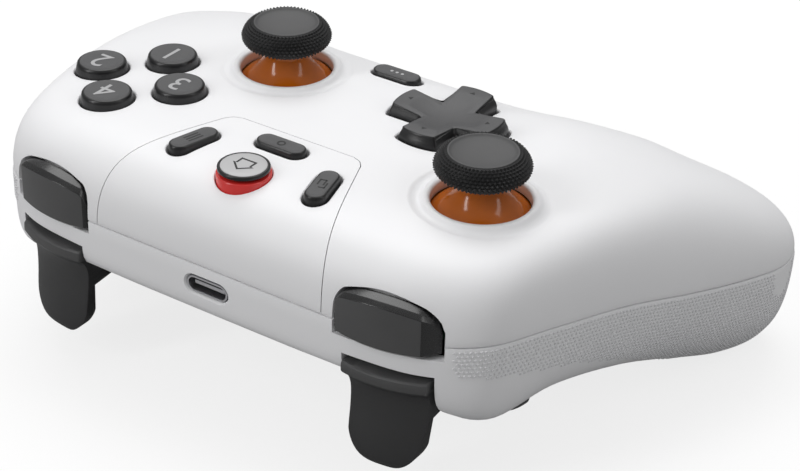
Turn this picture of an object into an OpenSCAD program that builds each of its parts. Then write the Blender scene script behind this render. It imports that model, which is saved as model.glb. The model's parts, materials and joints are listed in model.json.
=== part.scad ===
// Gamepad controller: two lofted shells, sticks on gimbals, buttons, bumpers and triggers.
// Millimetres. X to the player's right, Y towards the shoulder edge, Z up from the table.

/* [Body] */
// Width across both handles
body_w = 150; // [147:0.5:154]
// Front wall, measured from the middle of the depth
front_y = 46.9; // [46.5:0.1:47.2]
// Player's edge of the middle
heel_y = -26.6; // [-28:0.1:-26]
// Ends of the handles
tip_y = -47.9; // [-49.5:0.1:-46.5]
// Height of the face above the table
face_h = 48; // [47.5:0.1:48.5]
// Parting line along the front wall, below the face
seam_drop = 14; // [13.6:0.1:14.4]
// Height of the parting line at the handle ends
tip_h = 21.5; // [20.5:0.1:22.5]
// Flat underside between the handles, below the face
underside_drop = 25.8; // [25.4:0.1:26.4]
// Wall of the shells
wall = 2; // [1.6:0.1:2.2]
// Gap along the parting line
seam_gap = 0.3; // [0.2:0.05:0.5]
// Running clearance round pieces that move
clear = 0.3; // [0.25:0.05:0.4]

/* [Layout] */
// Left stick and face buttons, in from the widest side
outer_in = 36.7; // [36:0.1:37.5]
// Left stick and face buttons, along the depth
outer_y = 18.1; // [17:0.1:19]
// Right stick and direction pad, sideways from the middle
inner_x = 18.5; // [17.8:0.1:19.2]
// Right stick and direction pad, along the depth
inner_y = -1.9; // [-2.6:0.1:-1]
// Face buttons, distance from the middle of their cluster
face_pitch = 9.65; // [9.3:0.05:10]
// Home button along the depth
home_y = 35.5; // [35:0.1:36]
// Slanted ovals, in from the side of the centre panel
slant_in = 10.7; // [10.2:0.1:11.2]
// Slanted ovals along the depth
slant_y = 31.8; // [31.2:0.1:32.2]
// Slant of these ovals
slant_deg = 14; // [5:1:18]
// Upper flat oval along the depth
capture_y = 24.5; // [24:0.1:25]
// Lower flat oval along the depth
mode_y = -12.4; // [-13:0.1:-11.5]

/* [Sticks] */
// Inner radius of the collar in the face
collar_r = 8.9; // [8.7:0.05:9.2]
// Rim of the collar over the face
collar_rise = 0.9; // [0.6:0.1:1.2]
// Radius of the domed skirt about the pivot
dome_r = 11.1; // [11:0.05:11.2]
// Pivot of a stick below the face
pivot_drop = 8.2; // [8.1:0.05:8.4]
// Radius of the neck under the cap
neck_r = 4.1; // [3.6:0.1:4.4]
// Radius of the thumb cap
cap_r = 8.7; // [8.3:0.1:8.9]
// Underside of the cap above the pivot
cap_lift = 12.7; // [12.5:0.1:13.4]
// Thickness of the cap at its rim
cap_t = 5.5; // [5:0.1:6]
// Depth of the dished top
dish = 0.9; // [0.5:0.1:1.4]
// Press of a stick
stick_press = 0.5; // [0.3:0.1:0.5]

/* [Buttons] */
// Radius of a face button
face_r = 5.05; // [4.8:0.05:5.2]
// Face button above the face
face_rise = 2; // [1.6:0.1:2.4]
// Travel of a face button
face_travel = 1.5; // [1:0.1:1.6]
// Length of an oval button
oval_l = 10.6; // [10:0.1:11]
// Width of an oval button
oval_w = 4.4; // [4:0.1:4.8]
// Oval button above the face
oval_rise = 1; // [0.7:0.1:1.3]
// Travel of the oval and home buttons
small_travel = 0.5; // [0.3:0.05:0.6]
// Radius of the home button
home_r = 4.75; // [4.5:0.05:5]
// Direction pad across
pad_l = 21.5; // [20.5:0.1:22]
// Arm of the direction pad
pad_w = 8; // [7.5:0.1:8.5]
// Direction pad above the face
pad_rise = 3.4; // [2.8:0.1:3.8]

/* [Shoulder] */
// Outer end of a bumper, in from the widest side
bumper_in = 28.4; // [28.2:0.1:28.8]
// Length of a bumper
bumper_l = 19; // [18.7:0.1:19.1]
// Radius of the bowed fronts of bumpers and triggers
bow_r = 24; // [23.5:0.1:25]
// Bumpers and triggers in front of the front wall
bumper_out = 1; // [0.8:0.05:1.2]
// Upper edge of the bumpers, below the face
bumper_drop = 6.6; // [6.3:0.1:6.8]
// Height of a bumper
bumper_h = 10; // [9.8:0.1:10.2]
// Outer side of a trigger at its brow, in from the widest side
trigger_in = 29.6; // [29.4:0.1:30]
// Width of a trigger at its brow
trigger_w = 15.8; // [15.5:0.1:16]
// Top of the trigger's brow, below the face
trigger_drop = 20.6; // [20.4:0.1:20.8]
// Length of a trigger, down from its brow
trigger_l = 21.2; // [20.6:0.1:22]
// Trigger pin behind the front wall
trigger_pin_back = 10.5; // [10.1:0.1:10.9]
// Trigger pin below the top of the brow
trigger_pin_dip = 0.8; // [0.6:0.1:1.1]
// Radius of the trigger pin
trigger_pin_r = 1.5; // [1.2:0.1:1.6]

/* [Insides] */
// Underside of the main board, below the face
board_drop = 16.8; // [16.7:0.05:16.9]
// Thickness of the main board
board_t = 1.6; // [1.2:0.1:1.6]
// Radius of the case screws
screw_r = 1; // [0.9:0.05:1.1]
// Radius of a rumble motor
motor_r = 8.5; // [8:0.1:8.8]
// Length of a rumble motor
motor_l = 15; // [13:0.5:16]
// Length of the battery across the body
battery_w = 48; // [44:1:50]
// Depth of the battery
battery_d = 34; // [30:1:36]
// Thickness of the battery
battery_t = 4.8; // [4:0.1:5]

/* [Hidden] */
$fn = 48;
half_w = body_w / 2;
seam_h = face_h - seam_drop;
underside_h = face_h - underside_drop;
board_z = face_h - board_drop;
board_top = board_z + board_t;
outer_x = half_w - outer_in;
bumper_x1 = half_w - bumper_in;
bumper_x0 = bumper_x1 - bumper_l;
bumper_y = front_y + bumper_out;
bumper_z1 = face_h - bumper_drop;
bumper_z0 = bumper_z1 - bumper_h;
trigger_x1 = half_w - trigger_in;
trigger_x0 = trigger_x1 - trigger_w;
trigger_y = bumper_y;
trigger_z1 = face_h - trigger_drop;
trigger_z0 = trigger_z1 - trigger_l;
trigger_pin_y = front_y - trigger_pin_back;
trigger_pin_z = trigger_z1 - trigger_pin_dip;

// Colours of the pieces
white = [0.93, 0.93, 0.94];
pale_grey = [0.82, 0.83, 0.85];
charcoal = [0.14, 0.14, 0.15];
orange = [0.85, 0.33, 0.08];
steel = [0.7, 0.71, 0.73];

// Control stations of the body loft, from the middle to the end of the right handle.
// Outer x, y; inner x, y; parting line outer, inner; crest; keel;
// fullness above at the inner and outer edge; fullness below, across and down.
body_rows = [
  [0, front_y, 0, heel_y, seam_h, seam_h - 3, face_h, underside_h, 4.6, 8, 14, 8],
  [17, front_y, 6, heel_y, seam_h, seam_h - 3, face_h, underside_h, 4.6, 8, 14, 8],
  [half_w - 43, front_y - 0.3, 12, heel_y - 0.2, seam_h, seam_h - 3.2, face_h - 0.1, underside_h - 0.5,
   4.6, 8, 12, 7],
  [half_w - 31, front_y - 2.3, 18, heel_y - 1, seam_h, seam_h - 3.6, face_h - 0.4, underside_h - 4.2,
   4.4, 8, 8, 6],
  [half_w - 21.8, front_y - 8.4, 23, heel_y - 2.4, seam_h, seam_h - 4.2, face_h - 0.9, underside_h - 8.2,
   4.2, 8, 6.5, 5.4],
  [half_w - 16.6, front_y - 22, 28, heel_y - 4.4, seam_h - 1.4, seam_h - 5.2, face_h - 1.4, underside_h - 7.8,
   3.6, 8, 5, 3.4],
  [half_w - 11.8, front_y - 38.5, 33, heel_y - 7, seam_h - 4, seam_h - 6.6, face_h - 3, underside_h - 12,
   3, 6, 3.8, 2.6],
  [half_w - 6.9, tip_y + 39.8, 38, heel_y - 10.3, tip_h + 4.5, tip_h + 4, face_h - 6, 4.2,
   2.6, 3.8, 3, 2.3],
  [half_w - 2.4, tip_y + 26.3, half_w - 32, tip_y + 8.8, tip_h + 2.2, tip_h + 2, face_h - 10, 0.5,
   2.4, 2.7, 2.7, 2.2],
  [half_w - 0.1, tip_y + 15.8, half_w - 25, tip_y + 4.1, tip_h + 0.7, tip_h + 0.8, face_h - 15, 0.5,
   2.2, 2.3, 2.6, 2.3],
  [half_w - 1.8, tip_y + 7.3, half_w - 17.5, tip_y + 0.4, tip_h + 0.1, tip_h + 0.2, face_h - 20.5, 4,
   2.1, 2.1, 2.5, 2.3],
  [half_w - 7.8, tip_y + 0.9, half_w - 7.8, tip_y + 0.9, tip_h, tip_h, tip_h, tip_h,
   2, 2, 2, 2]
];
row_n = len(body_rows) - 1;
stations_per_row = 2;
arc_steps = 12;

function mix(a, b, t) = a + (b - a) * t;

// Point of a smooth curve through four neighbours, t from the second to the third.
function curve4(a, b, c, d, t) =
  (2 * b + (c - a) * t + (2 * a - 5 * b + 4 * c - d) * t * t + (3 * b - a - 3 * c + d) * t * t * t) / 2;

// A control station drawn in by a wall, square to its own line.
function inset_row(k, w) =
  let(r = body_rows[k], last = body_rows[row_n - 1], rest = [for (i = [8:11]) r[i]])
  k == row_n
    ? let(m = [(last[0] + last[2]) / 2, (last[1] + last[3]) / 2],
          e = ([r[0], r[1]] - m) / norm([r[0], r[1]] - m),
          p = [r[0], r[1]] - e * w)
      concat([p[0], p[1], p[0], p[1], r[4], r[5], r[6], r[7]], rest)
    : let(d = [r[0] - r[2], r[1] - r[3]], e = d / norm(d) * w)
      concat([r[0] - e[0], r[1] - e[1], r[2] + e[0], r[3] + e[1], r[4], r[5], r[6] - w, r[7] + w], rest);

// All control stations with one more at each end, so that the middle and the tips stay smooth.
function loft_rows(w) =
  let(rows = [for (k = [0:row_n]) inset_row(k, w)], a = rows[1], b = rows[row_n - 1])
  concat([[for (i = [0:11]) i == 0 || i == 2 ? -a[i] : a[i]]], rows,
    [[b[2], b[3], b[0], b[1], b[5], b[4], 2 * tip_h - b[6], 2 * tip_h - b[7], b[9], b[8], b[10], b[11]]]);

function station(rows, t) =
  let(k = min(floor(t), row_n - 1))
  curve4(rows[k], rows[k + 1], rows[k + 2], rows[k + 3], t - k);

// Point of a section, a = 180 at the inner edge and 0 at the outer edge.
function section_point(r, a, up, drop) =
  let(c = cos(a), p = up ? (c < 0 ? r[8] : r[9]) : r[10], q = up ? 2 : r[11],
      s = sign(c) * pow(abs(c), 2 / p), f = (s + 1) / 2, z = mix(r[5], r[4], f) - drop)
  [mix(r[2], r[0], f), mix(r[3], r[1], f), z + ((up ? r[6] : r[7]) - z) * pow(sin(a), 2 / q)];

// One skin of the loft: stations from the left tip to the right tip, the tips as single points.
function skin_points(up, w, drop) =
  let(rows = loft_rows(w), m = row_n * stations_per_row, p = rows[row_n + 1])
  concat([[-p[0], p[1], tip_h - drop]],
    [for (j = [1 - m:m - 1], i = [0:arc_steps])
      let(q = section_point(station(rows, abs(j) / stations_per_row), 180 - 180 * i / arc_steps, up, drop))
      [(j < 0 ? -1 : 1) * q[0], q[1], q[2]]],
    [[p[0], p[1], tip_h - drop]]);

skin_m = 2 * row_n * stations_per_row;
skin_n = 2 + (skin_m - 1) * (arc_steps + 1);
function skin_at(j, i) = j == 0 ? 0 : j == skin_m ? skin_n - 1 : 1 + (j - 1) * (arc_steps + 1) + i;
function turned(t, flip) = flip ? t : [t[0], t[2], t[1]];
function shifted(t, n) = [for (k = t) k + n];
skin_faces = [for (j = [0:skin_m - 1], i = [0:arc_steps - 1], h = [0, 1])
  if (!(h == 0 && j == skin_m - 1) && !(h == 1 && j == 0))
    h == 0 ? [skin_at(j, i), skin_at(j + 1, i), skin_at(j + 1, i + 1)]
           : [skin_at(j, i), skin_at(j + 1, i + 1), skin_at(j, i + 1)]];

// Closed shell between two skins of the upper or the lower half, joined along the parting line.
module half_shell(up, w_out, w_in, drop) {
  rim = [for (j = [0:skin_m - 1], i = [0, arc_steps], h = [0, 1])
    let(a = skin_at(j, i), b = skin_at(j + 1, i))
    turned(h == 0 ? [a, b, skin_n + b] : [a, skin_n + b, skin_n + a], i == 0)];
  polyhedron(
    points = concat(skin_points(up, w_out, drop), skin_points(up, w_in, drop)),
    faces = concat(
      [for (t = skin_faces) turned(t, !up)],
      [for (t = skin_faces) turned(shifted(t, skin_n), up)],
      [for (t = rim) turned(t, up)]),
    convexity = 10);
}

// Filled half of the body inside a skin, closed along the parting line.
module half_solid(up, w, drop) {
  lid = [for (j = [0:skin_m - 1], h = [0, 1])
    if (!(h == 0 && j == skin_m - 1) && !(h == 1 && j == 0))
      h == 0 ? [skin_at(j, 0), skin_at(j + 1, arc_steps), skin_at(j + 1, 0)]
             : [skin_at(j, 0), skin_at(j, arc_steps), skin_at(j + 1, arc_steps)]];
  polyhedron(
    points = skin_points(up, w, drop),
    faces = concat([for (t = skin_faces) turned(t, !up)], [for (t = lid) turned(t, !up)]),
    convexity = 10);
}

// Height of the face along the middle, and out at the sticks and the face buttons.
function mid_face_z(y) =
  let(m = (front_y + heel_y) / 2, s = (y - m) / (front_y - m),
      z = mix(seam_h - 3, seam_h, (s + 1) / 2))
  z + (face_h - z) * sqrt(1 - pow(abs(s), s < 0 ? body_rows[0][8] : body_rows[0][9]));
side_slope = 0.045;
side_x = 29;
function side_face_z(x) = face_h - 0.35 - side_slope * max(abs(x) - side_x, 0);

module both() {
  children();
  mirror([1, 0, 0]) children();
}

module stadium(l, w) {
  square([l - w, w], center = true);
  for (x = [-1, 1]) translate([x * (l - w) / 2, 0]) circle(d = w);
}

module along_x(l) {
  rotate([90, 0, 90]) linear_extrude(l, center = true) children();
}

module rod_x(r, l) {
  rotate([0, 90, 0]) cylinder(r = r, h = l, center = true);
}

module rod_y(r, l) {
  rotate([90, 0, 0]) cylinder(r = r, h = l, center = true);
}

// Centre panel outline seen from above, grown by g.
panel_back = 19.7;
panel_back_w = 12.4;
panel_side_w = 15.2;
panel_side_y = 21.6;
panel_front_w = bumper_x0 - 2.6;
slant_x = panel_front_w - slant_in;
module panel_outline(g) {
  a = [panel_back_w + g / 2, panel_back - g];
  b = [panel_side_w + g, panel_side_y - g / 2];
  c = [panel_front_w + g, front_y];
  d = [panel_front_w + g, front_y + 10];
  half = [a, mix(a, b, 0.45) + [0.5, -0.25], b, c, d];
  polygon(concat(half, [for (i = [4:-1:0]) [-half[i][0], half[i][1]]]));
}

// Places of the case screws: x, y and the height of the seat under the head.
screw_places = [
  [bumper_x0 - 4.4, front_y - 13.3, board_z - 4], [half_w - 47.5, heel_y + 10.1, board_z - 4],
  [half_w - 17.5, tip_y + 16.9, tip_h - 9.5]
];
boss_r = 3;
screw_head_r = 2.3;
screw_head_t = 1.6;
screw_l = 14;

oval_flange = 0.8;
oval_list = [
  [slant_x, slant_y, 90 - slant_deg], [-slant_x, slant_y, 90 + slant_deg],
  [0, capture_y, 0], [0, mode_y, 0]
];
face_list = [
  [outer_x, outer_y - face_pitch], [outer_x + face_pitch, outer_y],
  [outer_x - face_pitch, outer_y], [outer_x, outer_y + face_pitch]
];
stick_list = [[-outer_x, outer_y], [inner_x, inner_y]];
pad_place = [-inner_x, inner_y];
pad_step = 0.6;
collar_flange_r = collar_r + 2.4;
collar_body_r = collar_r + 1.3;
collar_seat = 1.1;
collar_foot = 1.3;
ring_r = home_r + 0.25;

// Everything that is cut through the face: sticks, buttons, pad and panel buttons.
module face_cuts() {
  for (p = stick_list) translate([p[0], p[1], side_face_z(p[0])]) {
    translate([0, 0, -10]) cylinder(r = collar_body_r + 0.1, h = 20);
    translate([0, 0, -collar_seat]) cylinder(r = collar_flange_r + 0.1, h = 10);
  }
  for (p = face_list) translate([p[0], p[1], face_h - 8]) cylinder(r = face_r + clear, h = 16);
  translate([pad_place[0], pad_place[1], face_h - 6]) linear_extrude(12) pad_cross(pad_step + clear + 0.15);
  translate([0, 0, face_h - 8]) linear_extrude(16) for (o = oval_list)
    translate([o[0], o[1]]) rotate(o[2]) stadium(oval_l + 2 * clear, oval_w + 2 * clear);
  translate([0, home_y, face_h - 8]) cylinder(r = ring_r + 0.15, h = 16);
}

module pad_cross(g) {
  intersection() {
    union() {
      square([pad_l + 2 * g, pad_w + 2 * g], center = true);
      square([pad_w + 2 * g, pad_l + 2 * g], center = true);
    }
    circle(r = pad_l / 2 + g, $fn = 96);
  }
}

// Bumpers and triggers are bowed in plan about one upright axis on each side.
bow_x = bumper_x0 + 6.4;
bow_y = bumper_y - bow_r;
function bow_drop(x) = bow_r - sqrt(bow_r * bow_r - (x - bow_x) * (x - bow_x));

// Faces of a skin of m strips round sections of n points each.
function skin_faces(n, m) = concat(
  [[for (i = [0:n - 1]) i], [for (i = [n - 1:-1:0]) m * n + i]],
  [for (j = [0:m - 1], i = [0:n - 1], h = [0, 1])
    let(k = (i + 1) % n, a = j * n + i, b = j * n + k, c = j * n + n + i, d = j * n + n + k)
    h == 0 ? [a, d, b] : [a, c, d]]);

// Stations of a bumper, g beyond its ends: place along X, fall of the front, fall of the upper edge.
bumper_t = 3;
bumper_swing = 0.6;
bumper_crown_r = 26;
bumper_crown_x = bumper_x0 + 9.2;
function bumper_stations(g) = concat(
  [[bumper_x0 - g, 0.9, 2.6], [bumper_x0 + 0.5 - g, 0.4, 1.1], [bumper_x0 + 1.4 - g, 0, 0.3]],
  [for (i = [0:8]) [mix(bumper_x0 + 2.4, bumper_x1 - 2.4, i / 8), 0, 0]],
  [[bumper_x1 - 1.3 + g, 0, 0.3], [bumper_x1 - 0.6 + g, 0.4, 1], [bumper_x1 + g, 0.9, 2.6]]);
function bumper_top(t) =
  bumper_z1 - t[2] - (t[0] - bumper_crown_x) * (t[0] - bumper_crown_x) / (2 * bumper_crown_r);

// A section of places out from the bow's axis and heights, set upright at a station.
function at_bow(t, section) =
  let(r = bow_r - t[1], a = acos((t[0] - bow_x) / r))
  [for (p = section) [bow_x + p[0] * cos(a), bow_y + p[0] * sin(a), p[1]]];

nub_x = bumper_x0 + 12.4;
nub_w = 1.2;
nub_z = seam_h + 0.8;
nub_h = 2;
nub_l = 8.8;
bumper_end_gap = 2 * clear;
module bumper_space() {
  r0 = bow_r - bumper_t - bumper_swing - clear;
  r1 = bow_r + 8;
  z0 = bumper_z0 - clear;
  places = bumper_stations(bumper_end_gap);
  polyhedron(
    points = [for (t = places, p = at_bow(t, [[r0, z0], [r1, z0], [r1, bumper_top(t) + clear],
      [r0, bumper_top(t) + clear]])) p],
    faces = skin_faces(4, len(places) - 1), convexity = 6);
}

// Openings for the bumpers, in both shells, and for the triggers, in the rear one.
module bumper_cut() {
  both() {
    bumper_space();
    translate([nub_x - 2 * clear, bumper_y - nub_l, nub_z - clear])
      cube([nub_w + 4 * clear, nub_l, nub_h + 2 * clear]);
  }
}
trigger_slot_y = trigger_pin_y - 4;
module trigger_cut() {
  both() translate([trigger_x0 - 0.4, trigger_slot_y, -5])
    cube([trigger_w + 0.8, 30, trigger_z1 + 5.3]);
}

// Front shell: face, sides and the upper half of the handles, with bosses for the screws.
module front_shell() {
  color(white) difference() {
    union() {
      half_shell(true, 0, wall, 0);
      intersection() {
        half_solid(true, wall / 2, 6);
        both() for (p = screw_places) translate([p[0], p[1], max(board_top, p[2] + 12.4)])
          cylinder(r = boss_r, h = 40);
      }
    }
    face_cuts();
    bumper_cut();
    translate([0, 0, seam_h - 8]) linear_extrude(40) panel_outline(0.15);
    both() for (p = screw_places) translate([p[0], p[1], p[2]])
      cylinder(r = screw_r + 0.05, h = screw_l + 0.6);
  }
}

// Centre panel round the home button, let into the front shell.
module centre_panel() {
  color(white) difference() {
    intersection() {
      half_shell(true, 0, wall, 0);
      translate([0, 0, seam_h - 8]) linear_extrude(40) panel_outline(0);
    }
    face_cuts();
  }
}

motor_x = half_w - 19.5;
motor_z = underside_h - 1.7;
motor_y1 = tip_y + 37.9;
bumper_pin_x = bumper_x0 - 2.4;
bumper_pin_y = bumper_y - 6.4;
bumper_pin_r = 1.1;
usb_w = 8.94;
usb_h = 3.26;
usb_l = 7.3;
usb_z = board_z - 0.1 - usb_h / 2;
paddle_x = half_w - 28;
paddle_y = 18.5;
paddle_l = 22;
paddle_w = 8;
paddle_deg = 68;
trigger_ear = 1.8;

// Ribs, posts and bosses that grow from the inside of the rear shell.
module rear_ribs() {
  for (p = screw_places) translate([p[0], p[1], -5])
    cylinder(r = boss_r, h = min(board_z, p[2] + 12.1) + 5);
  translate([bumper_pin_x, bumper_pin_y, 0]) cylinder(r = 2.2, h = bumper_z0 + 1.2);
  for (x = [trigger_x0 - 0.4 - trigger_ear, trigger_x1 + 0.4])
    translate([x, trigger_pin_y - 3, 0]) cube([trigger_ear, 6, trigger_pin_z + 3]);
  difference() {
    translate([motor_x - 7, motor_y1 - motor_l + 2, 0]) cube([14, motor_l - 4, motor_z - 4]);
    translate([motor_x, motor_y1 - motor_l / 2, motor_z]) rod_y(motor_r + 0.1, motor_l + 2);
  }
}

// Rear shell: underside and lower half of the handles.
module rear_shell() {
  color(white) difference() {
    union() {
      half_shell(false, 0, wall, seam_gap);
      intersection() {
        half_solid(false, wall / 2, seam_gap);
        both() rear_ribs();
      }
    }
    bumper_cut();
    trigger_cut();
    translate([0, front_y, usb_z]) rotate([90, 0, 0]) linear_extrude(12, center = true)
      stadium(usb_w + 0.4, usb_h + 0.4);
    both() for (p = screw_places) translate([p[0], p[1], -5]) {
      cylinder(r = screw_head_r + 0.2, h = p[2] + 5);
      cylinder(r = screw_r + 0.15, h = 60);
    }
    both() translate([trigger_x0 - 5, trigger_pin_y, trigger_pin_z])
      rotate([0, 90, 0]) cylinder(r = trigger_pin_r + 0.05, h = trigger_w + 7.1);
    both() translate([bumper_pin_x, bumper_pin_y, underside_h + wall])
      cylinder(r = bumper_pin_r + 0.05, h = 20);
    both() translate([paddle_x, paddle_y, 0]) rotate(paddle_deg) linear_extrude(25)
      stadium(paddle_l + 2 * clear, paddle_w + 2 * clear);
  }
}

// Collar of a stick, seated on the face.
module collar(p) {
  color(pale_grey) translate([p[0], p[1], side_face_z(p[0])]) rotate_extrude() polygon([
    [collar_r, -collar_foot], [collar_r, collar_rise - 0.3], [collar_r + 0.4, collar_rise],
    [collar_r + 1.6, collar_rise], [collar_flange_r, 0.2], [collar_flange_r, -collar_seat],
    [collar_body_r, -collar_seat], [collar_body_r, -collar_foot]]);
}

function pivot_z(p) = side_face_z(p[0]) - pivot_drop;
trunnion_r = 1.2;
bore_gap = 0.08;
housing_w = 15.2;
cavity_w = 13;

// Housing of a stick module on the main board, with the bearings of both yokes.
module stick_housing(p) {
  h = pivot_z(p) - board_top + 1.7;
  color(steel) translate([p[0], p[1], board_top]) difference() {
    intersection() {
      translate([-housing_w / 2, -housing_w / 2, 0]) cube([housing_w, housing_w, h]);
      cylinder(r = 8.9, h = h);
    }
    intersection() {
      translate([-cavity_w / 2, -cavity_w / 2, 0.8]) cube([cavity_w, cavity_w, h]);
      translate([0, 0, 0.8]) cylinder(r = 7.9, h = h);
    }
    translate([0, 0, h - 1.7]) rod_x(trunnion_r + bore_gap, housing_w + 1);
    translate([0, 0, h - 1.7]) rod_y(trunnion_r + bore_gap, housing_w + 1);
  }
}

yoke_x = 4.4;
yoke_y = 4.3;
yoke_z = 1.6;
spindle_pin_r = 1.1;
spindle_r = 1.6;
spindle_top = cap_lift - 0.2;
trunnion_l = housing_w / 2 - 0.2;

// Yoke that tilts forwards and back on trunnions along X and carries the spindle's pin.
module yoke(p) {
  color(charcoal) translate([p[0], p[1], pivot_z(p)]) difference() {
    union() {
      cube([2 * yoke_x, 2 * yoke_y, 2 * yoke_z], center = true);
      rod_x(trunnion_r, 2 * trunnion_l);
    }
    cube([5.8, 5.4, 5], center = true);
    rod_y(spindle_pin_r + bore_gap, 2 * yoke_y + 1);
  }
}

// Arch that the spindle swings sideways, on trunnions along Y.
arch_r0 = 5.05;
arch_r1 = 6.1;
module cross_arch(p) {
  color(pale_grey) translate([p[0], p[1], pivot_z(p)]) difference() {
    union() {
      intersection() {
        rod_x(arch_r1, 5.6);
        translate([-5, -10, -1.3]) cube([10, 20, 10]);
      }
      rod_y(trunnion_r, 2 * trunnion_l);
    }
    rod_x(arch_r0, 8);
    translate([-spindle_r - clear, -3.9, 0]) cube([2 * (spindle_r + clear), 7.8, 10]);
  }
}

// Spindle with its hub and cross pin.
module spindle(p) {
  color(steel) translate([p[0], p[1], pivot_z(p)]) {
    rod_y(2.3, 4.6);
    rod_y(spindle_pin_r, 8.2);
    translate([0, 0, -3.2]) cylinder(r = spindle_r, h = spindle_top + 3.2);
  }
}

// Stem with the domed skirt that closes the collar, and the neck that carries the cap.
skirt_deg = 74;
skirt_t = 1.1;
module stem(p) {
  neck_top = cap_lift + 2.9;
  bore = spindle_r + bore_gap;
  color(orange) translate([p[0], p[1], pivot_z(p)]) rotate_extrude() polygon(concat(
    [for (a = [skirt_deg:-6:26]) dome_r * [sin(a), cos(a)]],
    [[neck_r + 0.3, dome_r - 0.5], [neck_r, dome_r + 0.4], [neck_r, neck_top], [0, neck_top],
     [0, spindle_top + stick_press + 0.3], [bore, spindle_top + stick_press + 0.3]],
    [for (a = [10:8:skirt_deg]) (dome_r - skirt_t) * [sin(a), cos(a)]]));
}

// Thumb cap with its dished top.
dish_r = 5.85;
module stick_cap(p) {
  top = cap_lift + cap_t;
  socket = cap_lift + 2.95;
  color(charcoal) translate([p[0], p[1], pivot_z(p)]) rotate_extrude() polygon([
    [neck_r + 0.05, cap_lift], [neck_r + 1.2, cap_lift], [cap_r - 1.1, cap_lift + 0.35],
    [cap_r - 0.3, cap_lift + 0.9], [cap_r, cap_lift + 1.7], [cap_r - 0.2, cap_lift + 2.6],
    [cap_r - 1.1, top - 1.1], [cap_r - 2, top - 0.25], [dish_r + 0.35, top], [dish_r, top - 0.35],
    [dish_r / 2, top - dish + 0.05], [0, top - dish],
    [0, socket], [neck_r + 0.05, socket]]);
}

// Round face button with its retaining flange and stem.
face_flange = 0.85;
face_pad_h = 4.2;
module face_button(i) {
  p = face_list[i];
  z = side_face_z(p[0]);
  color(charcoal) translate([p[0], p[1], 0]) rotate_extrude() polygon([
    [0, board_top + face_pad_h + face_travel + 0.1], [3, board_top + face_pad_h + face_travel + 0.1],
    [3, z - 4.4], [face_r + face_flange, z - 4.4], [face_r + face_flange, z - 3.4], [face_r, z - 3.4],
    [face_r, z + 0.3], [face_r - 0.3, z + face_rise - 0.6], [face_r - 0.8, z + face_rise],
    [0, z + face_rise]]);
}

// Rubber pad under the four face buttons, one cup for each stem.
module face_pad() {
  color(pale_grey) difference() {
    union() {
      translate([outer_x, outer_y, board_top]) rotate(45) translate([-11, -11, 0]) cube([22, 22, 1]);
      for (p = face_list) translate([p[0], p[1], board_top]) cylinder(r = 4.2, h = face_pad_h);
    }
    for (p = face_list) translate([p[0], p[1], board_top + 0.6]) cylinder(r = 2.4, h = 10);
  }
}

pad_flange_r = pad_l / 2 + 1.05;
pad_drop = 4.3;
pad_pivot_drop = 3.2;
pad_ball_r = 2;
function pad_z() = side_face_z(inner_x);

// Four-way direction pad: stepped cross, round flange under the face and a socket for the ball.
module direction_pad() {
  z = pad_z();
  color(charcoal) translate([pad_place[0], pad_place[1], z]) difference() {
    union() {
      translate([0, 0, -pad_drop]) linear_extrude(pad_drop + pad_rise - 1.6) pad_cross(pad_step);
      translate([0, 0, -pad_drop]) linear_extrude(pad_drop + pad_rise) pad_cross(0);
      translate([0, 0, -pad_drop - 0.7]) cylinder(r = pad_flange_r, h = 0.8);
    }
    translate([0, 0, -6]) cylinder(r = 3.3, h = 6 - pad_pivot_drop + 0.6);
    translate([0, 0, -pad_pivot_drop]) sphere(r = pad_ball_r + 0.15);
    translate([0, 0, pad_rise + 22 - 1.4]) sphere(r = 22, $fn = 96);
  }
}

module pad_ball() {
  color(steel) translate([pad_place[0], pad_place[1], pad_z() - pad_pivot_drop]) sphere(r = pad_ball_r);
}

module pad_post() {
  h = pad_z() - pad_pivot_drop - 0.4 - board_top;
  color(pale_grey) translate([pad_place[0], pad_place[1], board_top]) difference() {
    cylinder(r = 2.6, h = h);
    translate([0, 0, h + 0.4]) sphere(r = pad_ball_r + 0.15);
  }
}

// Rubber pad with a contact dome under each arm of the direction pad.
module pad_rubber() {
  color(pale_grey) translate([pad_place[0], pad_place[1], board_top]) difference() {
    union() {
      cylinder(r = pad_flange_r - 0.3, h = 1);
      for (a = [0:90:270]) rotate(a) translate([pad_l / 2 - 2.75, 0, 0])
        cylinder(r = 2.6, h = pad_z() - pad_drop - 1.5 - board_top);
    }
    translate([0, 0, -1]) cylinder(r = 2.8, h = 10);
  }
}

switch_h = 2.6;

// Oval button with a flange under the face and a stem to its switch.
module oval_button(i) {
  o = oval_list[i];
  z = mid_face_z(o[1]);
  foot = board_top + switch_h + small_travel + 0.3;
  color(charcoal) translate([o[0], o[1], 0]) rotate(o[2]) {
    translate([0, 0, z - 4.6]) linear_extrude(4.6 + oval_rise) stadium(oval_l, oval_w);
    translate([0, 0, z - 5.2]) linear_extrude(1) stadium(oval_l + 2 * oval_flange, oval_w + 2 * oval_flange);
    translate([0, 0, foot]) cylinder(r = 1.4, h = z - 5 - foot);
  }
}

// Switches on the board under the ovals and the home button.
module small_switches() {
  places = concat([for (o = oval_list) [o[0], o[1]]], [[0, home_y]]);
  color(steel) for (p = places) translate([p[0], p[1], board_top]) {
    translate([-2.2, -2.2, 0]) cube([4.4, 4.4, switch_h - 0.6]);
    cylinder(r = 1.1, h = switch_h);
  }
}

ring_rise = 0.6;
ring_bore = 3.2;

// Light ring round the home button, with a flange behind the panel.
module home_light_ring() {
  z = mid_face_z(home_y);
  color([0.85, 0.1, 0.12]) translate([0, home_y, z]) rotate_extrude() polygon([
    [ring_bore, -5.3], [ring_r + 0.5, -5.3], [ring_r + 0.5, -4.5], [ring_r, -4.5], [ring_r, ring_rise],
    [ring_bore, ring_rise]]);
}

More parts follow.
